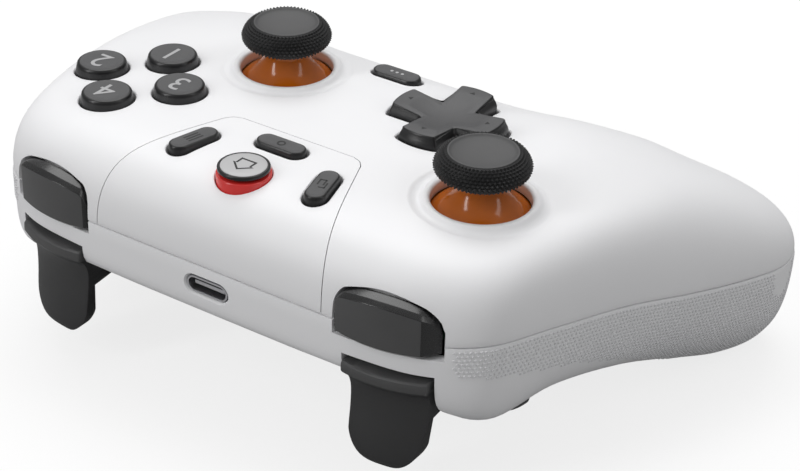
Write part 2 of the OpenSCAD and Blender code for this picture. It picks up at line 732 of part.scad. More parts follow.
module home_button() {
  z = mid_face_z(home_y) + ring_rise + small_travel + 0.1;
  foot = board_top + switch_h + small_travel + 0.3;
  color(steel) translate([0, home_y, 0]) rotate_extrude() polygon([
    [0, foot], [ring_bore - clear, foot], [ring_bore - clear, z], [home_r, z], [home_r, z + 0.5],
    [home_r - 0.3, z + 0.8], [0, z + 0.8]]);
}

// Socket in the front wall: a stadium shell with a tongue.
module usb_socket() {
  color(steel) translate([0, front_y - 0.3, usb_z]) rotate([90, 0, 0]) {
    difference() {
      linear_extrude(usb_l) stadium(usb_w, usb_h);
      translate([0, 0, -1]) linear_extrude(usb_l) stadium(usb_w - 0.6, usb_h - 0.7);
    }
    translate([-3.3, -0.35, 0.8]) cube([6.6, 0.7, usb_l - 1]);
  }
}

// Main board with holes for the screws.
module main_board() {
  x = half_w - 25;
  y = front_y - 3.9;
  half = [[bumper_x0 - 9.6, y], [bumper_x0 - 7.6, y - 4.5], [x - 4, y - 5.5], [x + 1, y - 13],
    [x + 3, y - 27], [x, y - 39], [x - 10, heel_y + 18.6], [x - 17, heel_y + 6.6]];
  color([0.1, 0.35, 0.2]) difference() {
    translate([0, 0, board_z]) linear_extrude(board_t)
      polygon(concat(half, [for (i = [len(half) - 1:-1:0]) [-half[i][0], half[i][1]]]));
    both() for (p = screw_places) translate([p[0], p[1], 0]) cylinder(r = screw_r + 0.3, h = 60);
  }
}

battery_y = 10;
module battery() {
  color([0.25, 0.3, 0.4]) translate([-battery_w / 2, battery_y - battery_d / 2, underside_h + wall + 0.25])
    cube([battery_w, battery_d, battery_t]);
}

// Bumper: a bowed plate with bevelled edges, a lug for its upright pin and a nub for its switch.
bumper_chamfer = 2.6;
bumper_chamfer_h = 1;
bumper_foot = 0.8;
lug_h = 4;
lug_w = 3.6;
lug_x0 = bumper_pin_x - 2.2;
function bumper_section(t) =
  let(r = bow_r - t[1], r0 = bow_r - bumper_t, z1 = bumper_top(t))
  [[r0, bumper_z0], [r - bumper_foot, bumper_z0], [r, bumper_z0 + bumper_foot], [r, z1 - bumper_chamfer_h],
   [max(r - bumper_chamfer, r0 + 0.2), z1], [r0, z1]];

module bumper_plate() {
  places = bumper_stations(0);
  polyhedron(
    points = [for (t = places, p = at_bow(t, bumper_section(t))) p],
    faces = skin_faces(len(bumper_section(places[0])), len(places) - 1), convexity = 6);
}

module right_bumper() {
  lug_z = seam_h - 1;
  lug_y = bumper_pin_y - lug_w / 2;
  back = bumper_y - bumper_t;
  color(charcoal) difference() {
    union() {
      bumper_plate();
      translate([lug_x0, lug_y, lug_z]) cube([bumper_x0 + 3.6 - lug_x0, lug_w, lug_h]);
      translate([bumper_x0 + 0.4, lug_y, lug_z]) cube([3.2, back + 1 - lug_y, lug_h]);
      translate([nub_x, bumper_y - nub_l, nub_z]) cube([nub_w, nub_l - bumper_t / 2, nub_h]);
    }
    translate([bumper_pin_x, bumper_pin_y, lug_z - 1]) cylinder(r = bumper_pin_r + bore_gap, h = lug_h + 2);
  }
}

module left_bumper() {
  mirror([1, 0, 0]) right_bumper();
}

module bumper_pins() {
  color(steel) both() translate([bumper_pin_x, bumper_pin_y, underside_h + wall + 0.1])
    cylinder(r = bumper_pin_r, h = seam_h + 4 - underside_h - wall);
}

module bumper_switches() {
  color(steel) both() translate([nub_x - 1.5, bumper_y - 14.1, board_top]) {
    cube([6, 3.4, 4]);
    translate([3, 3.4, 2.9]) rotate([-90, 0, 0]) cylinder(r = 0.9, h = 0.9);
  }
}

// Trigger lever: hollow tongue under a brow, with side webs and a boss for its pin.
trigger_boss_r = 3;
trigger_tip_r = 7.1;
trigger_wall = 2;
trigger_web_h = 10.9;

// Side profile, up the front and round by the pin: y, z and the share of the bow.
function trigger_side() =
  let(y = trigger_y, z0 = trigger_z0, z1 = trigger_z1, p = [trigger_pin_y, trigger_pin_z])
  [[y - 3.8, z0 + 0.4, 1], [y - 2.6, z0, 1], [y - 1.8, z0 + 1, 1], [y - 1.6, z0 + 3, 1],
   [y - 1.75, z0 + 6.5, 1], [y - 1.9, z0 + 10, 1], [y - 1.8, z1 - 8, 1], [y - 1.45, z1 - 5.2, 1],
   [y - 0.9, z1 - 3.4, 1], [y - 0.25, z1 - 2.4, 1], [y, z1 - 1.8, 1], [y - 1.6, z1, 1],
   [y - 5, z1, 1], [p[0], p[1] + trigger_boss_r - 0.8, 0], [p[0] - 2, p[1] - 1.5, 0],
   [p[0] + 1.8, z0 + trigger_web_h + 0.4, 0], [y - 4.5, z0 + trigger_web_h, 1], [y - 4.4, z0 + 5, 1]];

// Tongue seen from the front, drawn in by g: straight sides that run into a round tip.
module trigger_front(g) {
  c = [(trigger_x0 + trigger_x1) / 2 - 0.4, trigger_z0 + trigger_tip_r];
  r = trigger_tip_r - g;
  right = [trigger_x1 - g, trigger_z1 - 4];
  left = [trigger_x0 + g, trigger_z1 - 4];
  a0 = atan2(right[1] - c[1], right[0] - c[0]) - acos(r / norm(right - c));
  a1 = atan2(left[1] - c[1], left[0] - c[0]) + acos(r / norm(left - c)) - 360;
  polygon(concat([[left[0], trigger_z1 + 5], [right[0], trigger_z1 + 5], right],
    [for (i = [0:12]) let(a = mix(a0, a1, i / 12)) c + r * [cos(a), sin(a)]], [left]));
}

// Profile of the hollow behind the tongue and between the webs.
function trigger_pocket() =
  let(y = trigger_y, z0 = trigger_z0, z1 = trigger_z1, p = trigger_pin_y)
  [[p - 6, z0 + 4, 0], [y - 4.2, z0 + 4, 1], [y - 4.1, z0 + 8, 1], [y - 3.9, z1 - 6, 1], [p + 4, z1 - 6, 0],
   [p - 6, z0 + 15.4, 0]];

// A side profile across the whole width, bowed and kept to the tongue's outline.
module trigger_prism(profile, g) {
  m = 10;
  intersection() {
    polyhedron(
      points = [for (j = [0:m], p = profile)
        let(x = mix(trigger_x0 - 1, trigger_x1 + 1, j / m)) [x, p[0] - p[2] * bow_drop(x), p[1]]],
      faces = skin_faces(len(profile), m), convexity = 8);
    translate([0, trigger_y + 1, 0]) rotate([90, 0, 0]) linear_extrude(40) trigger_front(g);
  }
}

module right_trigger() {
  mid = (trigger_x0 + trigger_x1) / 2;
  w = trigger_w;
  color(charcoal) difference() {
    union() {
      trigger_prism(trigger_side(), 0);
      translate([mid, trigger_pin_y, trigger_pin_z]) rod_x(trigger_boss_r, w);
    }
    trigger_prism(trigger_pocket(), trigger_wall);
    translate([mid, trigger_pin_y, trigger_pin_z]) rod_x(trigger_pin_r + bore_gap, w + 2);
  }
}

module left_trigger() {
  mirror([1, 0, 0]) right_trigger();
}

module trigger_pins() {
  l = trigger_w + 2 * trigger_ear + 0.2;
  color(steel) both() translate([(trigger_x0 + trigger_x1) / 2, trigger_pin_y, trigger_pin_z])
    rod_x(trigger_pin_r, l);
}

// Paddle button that follows the underside of a handle, with a stalk to its switch.
paddle_rise = 0.9;
paddle_switch_h = 2.8;
paddle_travel = 0.6;
stalk_z = underside_h - 8.2;
module right_paddle() {
  color(charcoal) {
    intersection() {
      half_shell(false, -paddle_rise, 1.2, seam_gap);
      translate([paddle_x, paddle_y, -2]) rotate(paddle_deg) linear_extrude(27) stadium(paddle_l, paddle_w);
    }
    translate([paddle_x, paddle_y, stalk_z])
      cylinder(r = 2, h = board_z - paddle_switch_h - paddle_travel - 0.2 - stalk_z);
  }
}

module left_paddle() {
  mirror([1, 0, 0]) right_paddle();
}

module paddle_switches() {
  color(steel) both() translate([paddle_x - 2.5, paddle_y - 2.5, board_z - paddle_switch_h])
    cube([5, 5, paddle_switch_h]);
}

weight_l = 6;
weight_r = 7.5;
weight_gap = 1.5;
shaft_r = 1;
shaft_in = 3.6;
module right_motor() {
  color(steel) translate([motor_x, motor_y1 - motor_l / 2, motor_z]) difference() {
    rod_y(motor_r, motor_l);
    translate([0, motor_l / 2, 0]) rod_y(shaft_r + bore_gap, 2 * shaft_in + 0.8);
  }
}

module left_motor() {
  mirror([1, 0, 0]) right_motor();
}

// Eccentric weight on the motor's shaft.
module right_weight() {
  color(steel) translate([motor_x, motor_y1, motor_z]) {
    translate([0, (weight_l + weight_gap - shaft_in) / 2, 0]) rod_y(shaft_r, weight_l + weight_gap + shaft_in);
    translate([0, weight_gap + weight_l / 2, 0]) {
      intersection() {
        rod_y(weight_r, weight_l);
        translate([-2 * weight_r, -weight_l, -4 * weight_r]) cube([4 * weight_r, 2 * weight_l, 4 * weight_r]);
      }
      rod_y(2.4, weight_l);
    }
  }
}

module left_weight() {
  mirror([1, 0, 0]) right_weight();
}

// Case screws, driven from behind through the rear shell into the front one.
module case_screws() {
  color(steel) both() for (p = screw_places) translate([p[0], p[1], p[2]]) {
    translate([0, 0, -screw_head_t]) cylinder(r = screw_head_r, h = screw_head_t);
    translate([0, 0, -0.1]) cylinder(r = screw_r, h = screw_l);
  }
}

front_shell();
centre_panel();
rear_shell();
collar(stick_list[0]);  // left_collar
collar(stick_list[1]);  // right_collar
stick_housing(stick_list[0]);  // left_stick_housing
yoke(stick_list[0]);  // left_yoke
cross_arch(stick_list[0]);  // left_cross_arch
spindle(stick_list[0]);  // left_spindle
stem(stick_list[0]);  // left_stem
stick_cap(stick_list[0]);  // left_cap
stick_housing(stick_list[1]);  // right_stick_housing
yoke(stick_list[1]);  // right_yoke
cross_arch(stick_list[1]);  // right_cross_arch
spindle(stick_list[1]);  // right_spindle
stem(stick_list[1]);  // right_stem
stick_cap(stick_list[1]);  // right_cap
face_button(0);  // south_button
face_button(1);  // east_button
face_button(2);  // west_button
face_button(3);  // north_button
face_pad();
direction_pad();
pad_ball();
pad_post();
pad_rubber();
oval_button(0);  // menu_button
oval_button(1);  // view_button
oval_button(2);  // capture_button
oval_button(3);  // mode_button
small_switches();
home_button();
home_light_ring();
usb_socket();
main_board();
battery();
left_bumper();
right_bumper();
bumper_pins();
bumper_switches();
left_trigger();
right_trigger();
trigger_pins();
left_paddle();
right_paddle();
paddle_switches();
left_motor();
right_motor();
left_weight();
right_weight();
case_screws();
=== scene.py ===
import json
import math

import bmesh
import bpy
import numpy as np
from mathutils import Matrix, Vector
from mathutils.bvhtree import BVHTree
from mathutils.interpolate import poly_3d_calc


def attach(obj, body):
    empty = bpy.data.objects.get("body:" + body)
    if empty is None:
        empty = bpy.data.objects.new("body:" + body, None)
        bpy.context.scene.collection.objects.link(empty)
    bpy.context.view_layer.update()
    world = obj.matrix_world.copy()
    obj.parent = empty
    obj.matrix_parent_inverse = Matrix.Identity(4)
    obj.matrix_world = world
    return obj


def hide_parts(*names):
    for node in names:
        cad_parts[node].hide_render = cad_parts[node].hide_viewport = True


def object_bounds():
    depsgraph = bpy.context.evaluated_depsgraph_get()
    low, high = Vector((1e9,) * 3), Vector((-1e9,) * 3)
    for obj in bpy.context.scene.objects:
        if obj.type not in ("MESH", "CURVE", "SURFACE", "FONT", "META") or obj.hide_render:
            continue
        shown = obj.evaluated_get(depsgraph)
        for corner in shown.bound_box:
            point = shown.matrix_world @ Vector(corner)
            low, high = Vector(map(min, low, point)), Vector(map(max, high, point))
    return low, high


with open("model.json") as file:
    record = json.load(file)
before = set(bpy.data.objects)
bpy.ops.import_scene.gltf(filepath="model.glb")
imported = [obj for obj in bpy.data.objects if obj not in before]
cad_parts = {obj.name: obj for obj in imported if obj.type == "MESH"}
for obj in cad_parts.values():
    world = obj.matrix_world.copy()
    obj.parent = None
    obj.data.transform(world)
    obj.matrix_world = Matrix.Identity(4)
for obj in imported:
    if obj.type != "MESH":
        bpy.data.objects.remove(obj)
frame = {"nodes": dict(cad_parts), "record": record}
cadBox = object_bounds()
scene = bpy.context.scene
mm = 0.001  # shapes below are written in millimetres
print("frame loaded:", len(frame["nodes"]), "nodes")


# Camera at the photograph's place
view = dict(
    spot=(-0.19884, 0.28742, 0.22989), across=(-0.82019, -0.57192, 0.01433), upward=(0.31025, -0.42360, 0.85106),
    backward=(-0.48067, 0.70248, 0.52486), lens=94.31, sensor=36, shiftX=0.0413, shiftY=0.0178)
cameraData = bpy.data.cameras.new("camera")
cameraData.lens = view["lens"]
cameraData.sensor_width = view["sensor"]
cameraData.shift_x = view["shiftX"]
cameraData.shift_y = view["shiftY"]
camera = bpy.data.objects.new("camera", cameraData)
turn = Matrix((view["across"], view["upward"], view["backward"])).transposed().to_4x4()
camera.matrix_world = Matrix.Translation(view["spot"]) @ turn
scene.collection.objects.link(camera)
scene.camera = camera


# Node helpers: values by input, links as from, output, to, input
def setValues(node, values):
    for socket, value in values.items():
        node.inputs[socket].default_value = value


def addNode(nodes, kind, values, **traits):
    node = nodes.new(kind)
    for trait, value in traits.items():
        setattr(node, trait, value)
    setValues(node, values)
    return node


def wire(links, *joins):
    for source, output, target, socket in joins:
        links.new(source.outputs[output], target.inputs[socket])


def addSockets(group, way, kind, *names):
    for name in names:
        group.interface.new_socket(name, in_out=way, socket_type="NodeSocket" + kind)


# Shader group: fine grain of moulded plastic, for tone, roughness and bump
grainForm = dict(fineDetail=3, fineRough=0.6, broadDetail=2, pits=0.5, depth=0.00006)


def makeGrain():
    group = bpy.data.node_groups.new("mouldGrain", "ShaderNodeTree")
    addSockets(group, "INPUT", "Float", "Fine Scale", "Broad Scale")
    addSockets(group, "OUTPUT", "Float", "Height", "Tone")
    nodes = group.nodes
    come, go = nodes.new("NodeGroupInput"), nodes.new("NodeGroupOutput")
    place = nodes.new("ShaderNodeTexCoord")
    fine = addNode(nodes, "ShaderNodeTexNoise", {
        "Detail": grainForm["fineDetail"], "Roughness": grainForm["fineRough"]})
    broad = addNode(nodes, "ShaderNodeTexNoise", {"Detail": grainForm["broadDetail"]})
    pits = nodes.new("ShaderNodeTexVoronoi")
    blend = addNode(nodes, "ShaderNodeMath", {}, operation="MULTIPLY_ADD")
    blend.inputs[1].default_value = grainForm["pits"]
    wire(group.links, (place, "Object", fine, "Vector"), (place, "Object", broad, "Vector"),
         (place, "Object", pits, "Vector"), (come, "Fine Scale", fine, "Scale"), (come, "Fine Scale", pits, "Scale"),
         (come, "Broad Scale", broad, "Scale"), (pits, "Distance", blend, 0), (fine, "Fac", blend, 2),
         (blend, "Value", go, "Height"), (broad, "Fac", go, "Tone"))
    return group


mouldGrain = makeGrain()


# A moulded finish: two near tones, a roughness span, grain and bump
def mouldedFinish(name, low, high, rough, fine, broad, bump, coat=0.0, coatRough=0.2, specular=0.5):
    finish = bpy.data.materials.new(name)
    finish.use_nodes = True
    nodes = finish.node_tree.nodes
    shader = nodes["Principled BSDF"]
    grain = addNode(nodes, "ShaderNodeGroup", {}, node_tree=mouldGrain)
    setValues(grain, {"Fine Scale": fine, "Broad Scale": broad})
    tone = addNode(nodes, "ShaderNodeMix", {}, data_type="RGBA")
    setValues(tone, {"A": (*low, 1), "B": (*high, 1)})
    span = addNode(nodes, "ShaderNodeMapRange", {"To Min": rough[0], "To Max": rough[1]})
    lift = addNode(nodes, "ShaderNodeBump", {"Strength": bump, "Distance": grainForm["depth"]})
    wire(finish.node_tree.links, (grain, "Tone", tone, "Factor"), (grain, "Height", span, "Value"),
         (grain, "Height", lift, "Height"), (tone, "Result", shader, "Base Color"),
         (span, "Result", shader, "Roughness"), (lift, "Normal", shader, "Normal"))
    setValues(shader, {"Coat Weight": coat, "Coat Roughness": coatRough, "Specular IOR Level": specular})
    return finish


whiteShell = mouldedFinish("whiteShell", (0.80, 0.80, 0.815), (0.83, 0.83, 0.84), (0.36, 0.5), 5200, 60, 0.12)
gripDot = mouldedFinish("gripDot", (0.68, 0.68, 0.695), (0.74, 0.74, 0.75), (0.42, 0.58), 5200, 60, 0.12)
collarWhite = mouldedFinish("collarWhite", (0.78, 0.78, 0.79), (0.82, 0.82, 0.83), (0.25, 0.36), 5200, 60, 0.08)
greyTrim = mouldedFinish("greyTrim", (0.55, 0.56, 0.58), (0.6, 0.61, 0.63), (0.4, 0.55), 4200, 80, 0.2)
buttonTop = mouldedFinish("buttonTop", (0.056, 0.056, 0.058), (0.072, 0.072, 0.074), (0.42, 0.56), 6500, 120, 0.25)
buttonSide = mouldedFinish(
    "buttonSide", (0.004, 0.004, 0.0045), (0.007, 0.007, 0.0075), (0.24, 0.36), 6500, 120, 0.12)
skirtDark = mouldedFinish("skirtDark", (0.016, 0.016, 0.017), (0.024, 0.024, 0.025), (0.3, 0.42), 6500, 120, 0.15)
shoulderFace = mouldedFinish(
    "shoulderFace", (0.058, 0.058, 0.059), (0.076, 0.076, 0.077), (0.34, 0.46), 6500, 90, 0.25)
# Trigger tongue below the brow: painted shade of the scoop, far darker than the brow's finish
tongueShade = mouldedFinish("tongueShade", (0.022, 0.022, 0.023), (0.03, 0.03, 0.031), (0.3, 0.42), 6500, 90, 0.25)
# Bumper edges: half-gloss, and also painted far darker than the bumper's front as painted shade
shoulderShadedEdge = mouldedFinish(
    "shoulderShadedEdge", (0.006, 0.006, 0.0065), (0.010, 0.010, 0.0105), (0.2, 0.3), 6500, 90, 0.06,
    coat=0.2, coatRough=0.15)
capRubber = mouldedFinish("capRubber", (0.005, 0.005, 0.0055), (0.009, 0.009, 0.0095), (0.42, 0.58), 7000, 150, 0.2)
capDish = mouldedFinish("capDish", (0.062, 0.062, 0.063), (0.074, 0.074, 0.075), (0.5, 0.64), 7500, 120, 0.3)
orangeGloss = mouldedFinish("orangeGloss", (0.42, 0.095, 0.0005), (0.50, 0.115, 0.001), (0.1, 0.18), 3000, 90, 0.02,
                            coat=0.15, coatRough=0.05, specular=0.35)
silverCap = mouldedFinish("silverCap", (0.42, 0.42, 0.425), (0.48, 0.48, 0.485), (0.3, 0.42), 6500, 120, 0.15)
redRing = mouldedFinish("redRing", (0.64, 0.024, 0.022), (0.74, 0.034, 0.03), (0.16, 0.26), 3000, 120, 0.03, coat=0.4)
legendInk = mouldedFinish("legendInk", (0.36, 0.36, 0.365), (0.42, 0.42, 0.425), (0.5, 0.6), 6500, 200, 0.1)
darkInk = mouldedFinish("darkInk", (0.004, 0.004, 0.0045), (0.007, 0.007, 0.0075), (0.5, 0.6), 6500, 200, 0.1)
padRubber = mouldedFinish("padRubber", (0.42, 0.42, 0.43), (0.48, 0.48, 0.49), (0.6, 0.75), 5000, 90, 0.3)
boardMask = mouldedFinish("boardMask", (0.02, 0.13, 0.06), (0.03, 0.17, 0.08), (0.25, 0.4), 900, 140, 0.1)
cellFoil = mouldedFinish("cellFoil", (0.16, 0.19, 0.26), (0.2, 0.23, 0.3), (0.3, 0.5), 600, 70, 0.2)


def metalFinish(name, low, high, rough, grainScale):
    finish = mouldedFinish(name, low, high, rough, grainScale, 160, 0.08)
    finish.node_tree.nodes["Principled BSDF"].inputs["Metallic"].default_value = 1
    return finish


plainSteel = metalFinish("plainSteel", (0.56, 0.56, 0.58), (0.64, 0.64, 0.66), (0.26, 0.4), 2600)
print("finishes made")


# Small mesh helpers
def mergePoints(mesh, near):
    work = bmesh.new()
    work.from_mesh(mesh)
    bmesh.ops.remove_doubles(work, verts=work.verts, dist=near)
    bmesh.ops.recalc_face_normals(work, faces=work.faces)
    work.to_mesh(mesh)
    work.free()


# Plain mesh of an object with its modifiers, after which the object goes
def bakedMesh(*holders):
    scene.view_layers[0].update()
    mesh = bpy.data.meshes.new_from_object(holders[0].evaluated_get(bpy.context.evaluated_depsgraph_get()))
    for holder in holders:
        bpy.data.objects.remove(holder)
    return mesh


def newObject(name, data):
    thing = bpy.data.objects.new(name, data)
    scene.collection.objects.link(thing)
    return thing


def meshFrom(name, verts, faces, marks=None):
    mesh = bpy.data.meshes.new(name)
    mesh.from_pydata([(v[0] * mm, v[1] * mm, v[2] * mm) for v in verts], [], faces)
    if marks:
        mesh.polygons.foreach_set("material_index", marks)
    mergePoints(mesh, 2e-7)
    return mesh


def smoothShade(mesh, angle):
    mesh.polygons.foreach_set("use_smooth", [True] * len(mesh.polygons))
    mesh.set_sharp_from_angle(angle=math.radians(angle))


def settle(name, mesh, finishes, body, slot, *nodes, angle=38):
    for finish in finishes:
        mesh.materials.append(finish)
    if angle:
        smoothShade(mesh, angle)
    piece = newObject(name, mesh)
    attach(piece, body)
    if nodes:
        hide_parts(*nodes)


# Rings of equal count joined into a skin, closed by a face at each end
def ringSkin(rings, capped=True, looped=False):
    count = len(rings[0])
    verts = [p for ring in rings for p in ring]
    faces = []
    for j in range(len(rings) - (0 if looped else 1)):
        for i in range(count):
            a, b = j * count + i, j * count + (i + 1) % count
            c, d = a + count, b + count
            if looped and j == len(rings) - 1:
                c, d = i, (i + 1) % count
            faces.append((a, b, d, c))
    if capped and not looped:
        faces.append(tuple(range(count))[::-1])
        faces.append(tuple(range((len(rings) - 1) * count, len(rings) * count)))
    return verts, faces


def joinSkins(skins):
    verts, faces = [], []
    for v, f in skins:
        base = len(verts)
        verts += v
        faces += [tuple(i + base for i in face) for face in f]
    return verts, faces


def upright(line, z0, z1):
    return [[(x, y, z) for x, y in line] for z in (z0, z1)]


# Finish of each face, given as finishes with the ring that they start from
def ringMarks(total, count, *starts):
    return [[mark for mark, ring in starts if k // count >= ring][-1] for k in range(total)]


def lathe(profile, centre, steps=96):
    x, y, base = centre
    return [[(x + p, y + q, base + z) for p, q in circleLine(max(r, 0.0), steps)] for r, z in profile]


# Length along a row of points, from its start to each of them
def lengthAlong(points):
    return np.concatenate([[0], np.cumsum(np.linalg.norm(np.diff(points, axis=0), axis=1))])


# Cubic through b and c at share t, with a before and d after
def throughPoints(a, b, c, d, t):
    return (2 * b + (c - a) * t + (2 * a - 5 * b + 4 * c - d) * t * t + (3 * b - a - 3 * c + d) * t ** 3) / 2


# Smooth curve through points, for lathed profiles
def softCurve(points, per=6):
    pts = [np.array(p, float) for p in points]
    pts = [2 * pts[0] - pts[1]] + pts + [2 * pts[-1] - pts[-2]]
    out = []
    for k in range(1, len(pts) - 2):
        out += [tuple(throughPoints(*pts[k - 1:k + 3], i / per)) for i in range(per)]
    return out + [tuple(pts[-2])]


def rectLine(x0, x1, y0, y1):
    return [(x0, y0), (x1, y0), (x1, y1), (x0, y1)]


def barLine(x, y, w, h):
    return rectLine(x - w / 2, x + w / 2, y - h / 2, y + h / 2)


def circleLine(r, count=96):
    return [(r * math.cos(2 * math.pi * i / count), r * math.sin(2 * math.pi * i / count)) for i in range(count)]


def stadiumLine(length, width, count=24):
    r, h = width / 2, (length - width) / 2
    line = [(h + r * math.cos(a), r * math.sin(a)) for a in np.linspace(-math.pi / 2, math.pi / 2, count)]
    return line + [(-x, -y) for x, y in line]


# Polygon with its corners rounded
def roundCorners(points, radius, steps=5):
    out = []
    n = len(points)
    for i in range(n):
        p, a, b = (Vector(points[(i + k) % n]) for k in (0, -1, 1))
        r = radius[i] if isinstance(radius, (list, tuple)) else radius
        if r <= 0:
            out.append(tuple(p))
            continue
        u, v = (a - p).normalized(), (b - p).normalized()
        half = u.angle(v) / 2
        reach = min(r / math.tan(half), 0.48 * (a - p).length, 0.48 * (b - p).length)
        bend = reach * math.tan(half)
        middle = p + (u + v).normalized() * bend / math.sin(half)
        start, stop = p + u * reach - middle, p + v * reach - middle
        sweep = start.angle_signed(stop)
        for k in range(steps + 1):
            w = -sweep * k / steps
            out.append((middle.x + start.x * math.cos(w) - start.y * math.sin(w),
                        middle.y + start.x * math.sin(w) + start.y * math.cos(w)))
    return out


def moved(line, x, y, degrees=0):
    c, s = math.cos(math.radians(degrees)), math.sin(math.radians(degrees))
    return [(x + c * p - s * q, y + s * p + c * q) for p, q in line]


# Outline pushed out along its own normals; outlines run anticlockwise
def grown(line, by):
    n = len(line)
    out = []
    for i in range(n):
        a, b = line[i - 1], line[(i + 1) % n]
        t = Vector((b[0] - a[0], b[1] - a[1])).normalized()
        out.append((line[i][0] + t.y * by, line[i][1] - t.x * by))
    return out


# Body: the two lofted shells
bodyForm = dict(halfW=75.0, frontY=46.9, heelY=-26.6, tipY=-47.9, faceH=48.0, seamH=34.0, tipH=21.5, underH=22.2,
                wall=2.0, seamGap=0.3, lip=0.14, arcSteps=64, rowSteps=8, tipSteps=14)


def controlRows():
    w, f, h, t = (bodyForm[k] for k in ("halfW", "frontY", "heelY", "tipY"))
    top, seam, tip, under = (bodyForm[k] for k in ("faceH", "seamH", "tipH", "underH"))
    # outer x, y; inner x, y; parting line outer, inner; crest; keel; fullness up inner, outer, down across, down
    return np.array([
        [0, f, 0, h, seam, seam - 3, top, under, 4.6, 8, 14, 8],
        [17, f, 6, h, seam, seam - 3, top, under, 4.6, 8, 14, 8],
        [w - 43, f - 0.3, 12, h - 0.2, seam, seam - 3.2, top - 0.1, under - 0.5, 4.6, 8, 12, 7],
        [w - 31, f - 2.3, 18, h - 1, seam, seam - 3.6, top - 0.4, under - 4.2, 4.4, 8, 8, 6],
        [w - 21.8, f - 8.4, 23, h - 2.4, seam, seam - 4.2, top - 0.9, under - 8.2, 4.2, 8, 6.5, 5.4],
        [w - 16.6, f - 22, 28, h - 4.4, seam - 1.4, seam - 5.2, top - 1.4, under - 7.8, 3.6, 8, 5, 3.4],
        [w - 11.8, f - 38.5, 33, h - 7, seam - 4, seam - 6.6, top - 3, under - 12, 3, 6, 3.8, 2.6],
        [w - 6.9, t + 39.8, 38, h - 10.3, tip + 4.5, tip + 4, top - 6, 4.2, 2.6, 3.8, 3, 2.3],
        [w - 2.4, t + 26.3, w - 32, t + 8.8, tip + 2.2, tip + 2, top - 10, 0.5, 2.4, 2.7, 2.7, 2.2],
        [w - 0.1, t + 15.8, w - 25, t + 4.1, tip + 0.7, tip + 0.8, top - 15, 0.5, 2.2, 2.3, 2.6, 2.3],
        [w - 1.8, t + 7.3, w - 17.5, t + 0.4, tip + 0.1, tip + 0.2, top - 20.5, 4, 2.1, 2.1, 2.5, 2.3],
        [w - 7.8, t + 0.9, w - 7.8, t + 0.9, tip, tip, tip, tip, 2, 2, 2, 2]])


# Control rows drawn in by a wall, with one more row at each end for a smooth middle and tip
def insetRows(by):
    rows = controlRows()
    out = rows.copy()
    for k, r in enumerate(rows):
        if k == len(rows) - 1:
            last = rows[-2]
            way = r[0:2] - (last[0:2] + last[2:4]) / 2
            point = r[0:2] - way / np.linalg.norm(way) * by
            out[k, 0:2] = out[k, 2:4] = point
        else:
            way = r[0:2] - r[2:4]
            way *= by / np.linalg.norm(way)
            out[k, 0:2] -= way
            out[k, 2:4] += way
            out[k, 6] -= by
            out[k, 7] += by
    first, b, tip = out[1].copy(), out[-2], bodyForm["tipH"]
    first[[0, 2]] *= -1
    past = np.array([b[2], b[3], b[0], b[1], b[5], b[4], 2 * tip - b[6], 2 * tip - b[7], b[9], b[8], b[10], b[11]])
    return np.vstack([first, out, past])


def rowAt(rows, t):
    k = min(int(t), len(rows) - 4)
    return throughPoints(*rows[k:k + 4], t - k)


def sectionPoints(row, angles, up, drop):
    c = np.cos(angles)
    p = np.where(c < 0, row[8], row[9]) if up else np.full_like(c, row[10])
    q = 2.0 if up else row[11]
    f = (np.sign(c) * np.abs(c) ** (2 / p) + 1) / 2
    z = row[5] + (row[4] - row[5]) * f - drop
    z = z + ((row[6] if up else row[7]) - z) * np.abs(np.sin(angles)) ** (2 / q)
    return np.stack([row[2] + (row[0] - row[2]) * f, row[3] + (row[1] - row[3]) * f, z], -1)


# Section angles that put points at even distances, from the inner to the outer edge
def evenAngles(row, up, count):
    u = np.linspace(-1, 1, 1201)
    fine = math.pi / 2 - np.sign(u) * np.abs(u) ** 3 * math.pi / 2
    pts = sectionPoints(row, fine, up, 0)
    gone = lengthAlong(pts)
    if gone[-1] < 0.01:
        return np.linspace(math.pi, 0, count + 1)
    return np.interp(np.linspace(0, gone[-1], count + 1), gone, fine)


outerRows, innerRows = insetRows(0), insetRows(bodyForm["wall"])
rowCount = len(outerRows) - 3
stationList = np.concatenate([np.arange(0, rowCount - 2, 1 / bodyForm["rowSteps"]),
                              np.linspace(rowCount - 2, rowCount, 2 * bodyForm["tipSteps"] + 1)])


# One closed loop round the wall of a shell at a station, with softened rims
def wallLoop(t, up):
    drop = 0 if up else bodyForm["seamGap"]
    side = np.array([0, 0, 1.0 if up else -1.0])
    ro, ri = rowAt(outerRows, t), rowAt(innerRows, t)
    count = bodyForm["arcSteps"]
    out = sectionPoints(ro, evenAngles(ro, up, count), up, drop)
    inn = sectionPoints(ri, evenAngles(ri, up, count), up, drop)
    width = np.linalg.norm(out[-1] - out[0])
    f = min(bodyForm["lip"], 0.05 * width)

    def lip(edge, inside):
        way = inside - edge
        way = way / max(np.linalg.norm(way), 1e-9)
        return [edge + side * f, edge + (side + way) * f * 0.29, edge + way * f]

    loop = lip(out[0], inn[0])[::-1] + list(out[1:-1]) + lip(out[-1], inn[-1]) + list(inn[::-1])
    return np.array(loop)


def shellSolid(name, up):
    right = [wallLoop(t, up) for t in stationList]
    left = [loop * np.array([-1, 1, 1]) for loop in right[:0:-1]]
    low, high = (np.array(corner) / mm for corner in cadBox)
    verts, faces = ringSkin([[tuple(np.clip(p, low, high)) for p in loop] for loop in left + right], capped=False)
    mesh = meshFrom(name, verts, faces)
    work = bmesh.new()
    work.from_mesh(mesh)
    bmesh.ops.dissolve_degenerate(work, dist=1e-7, edges=work.edges)
    bmesh.ops.recalc_face_normals(work, faces=work.faces)
    work.to_mesh(mesh)
    work.free()
    smoothShade(mesh, 40)
    return mesh


upperSolid = shellSolid("upperSolid", True)
lowerSolid = shellSolid("lowerSolid", False)
print("shell lofts:", len(upperSolid.polygons), len(lowerSolid.polygons))


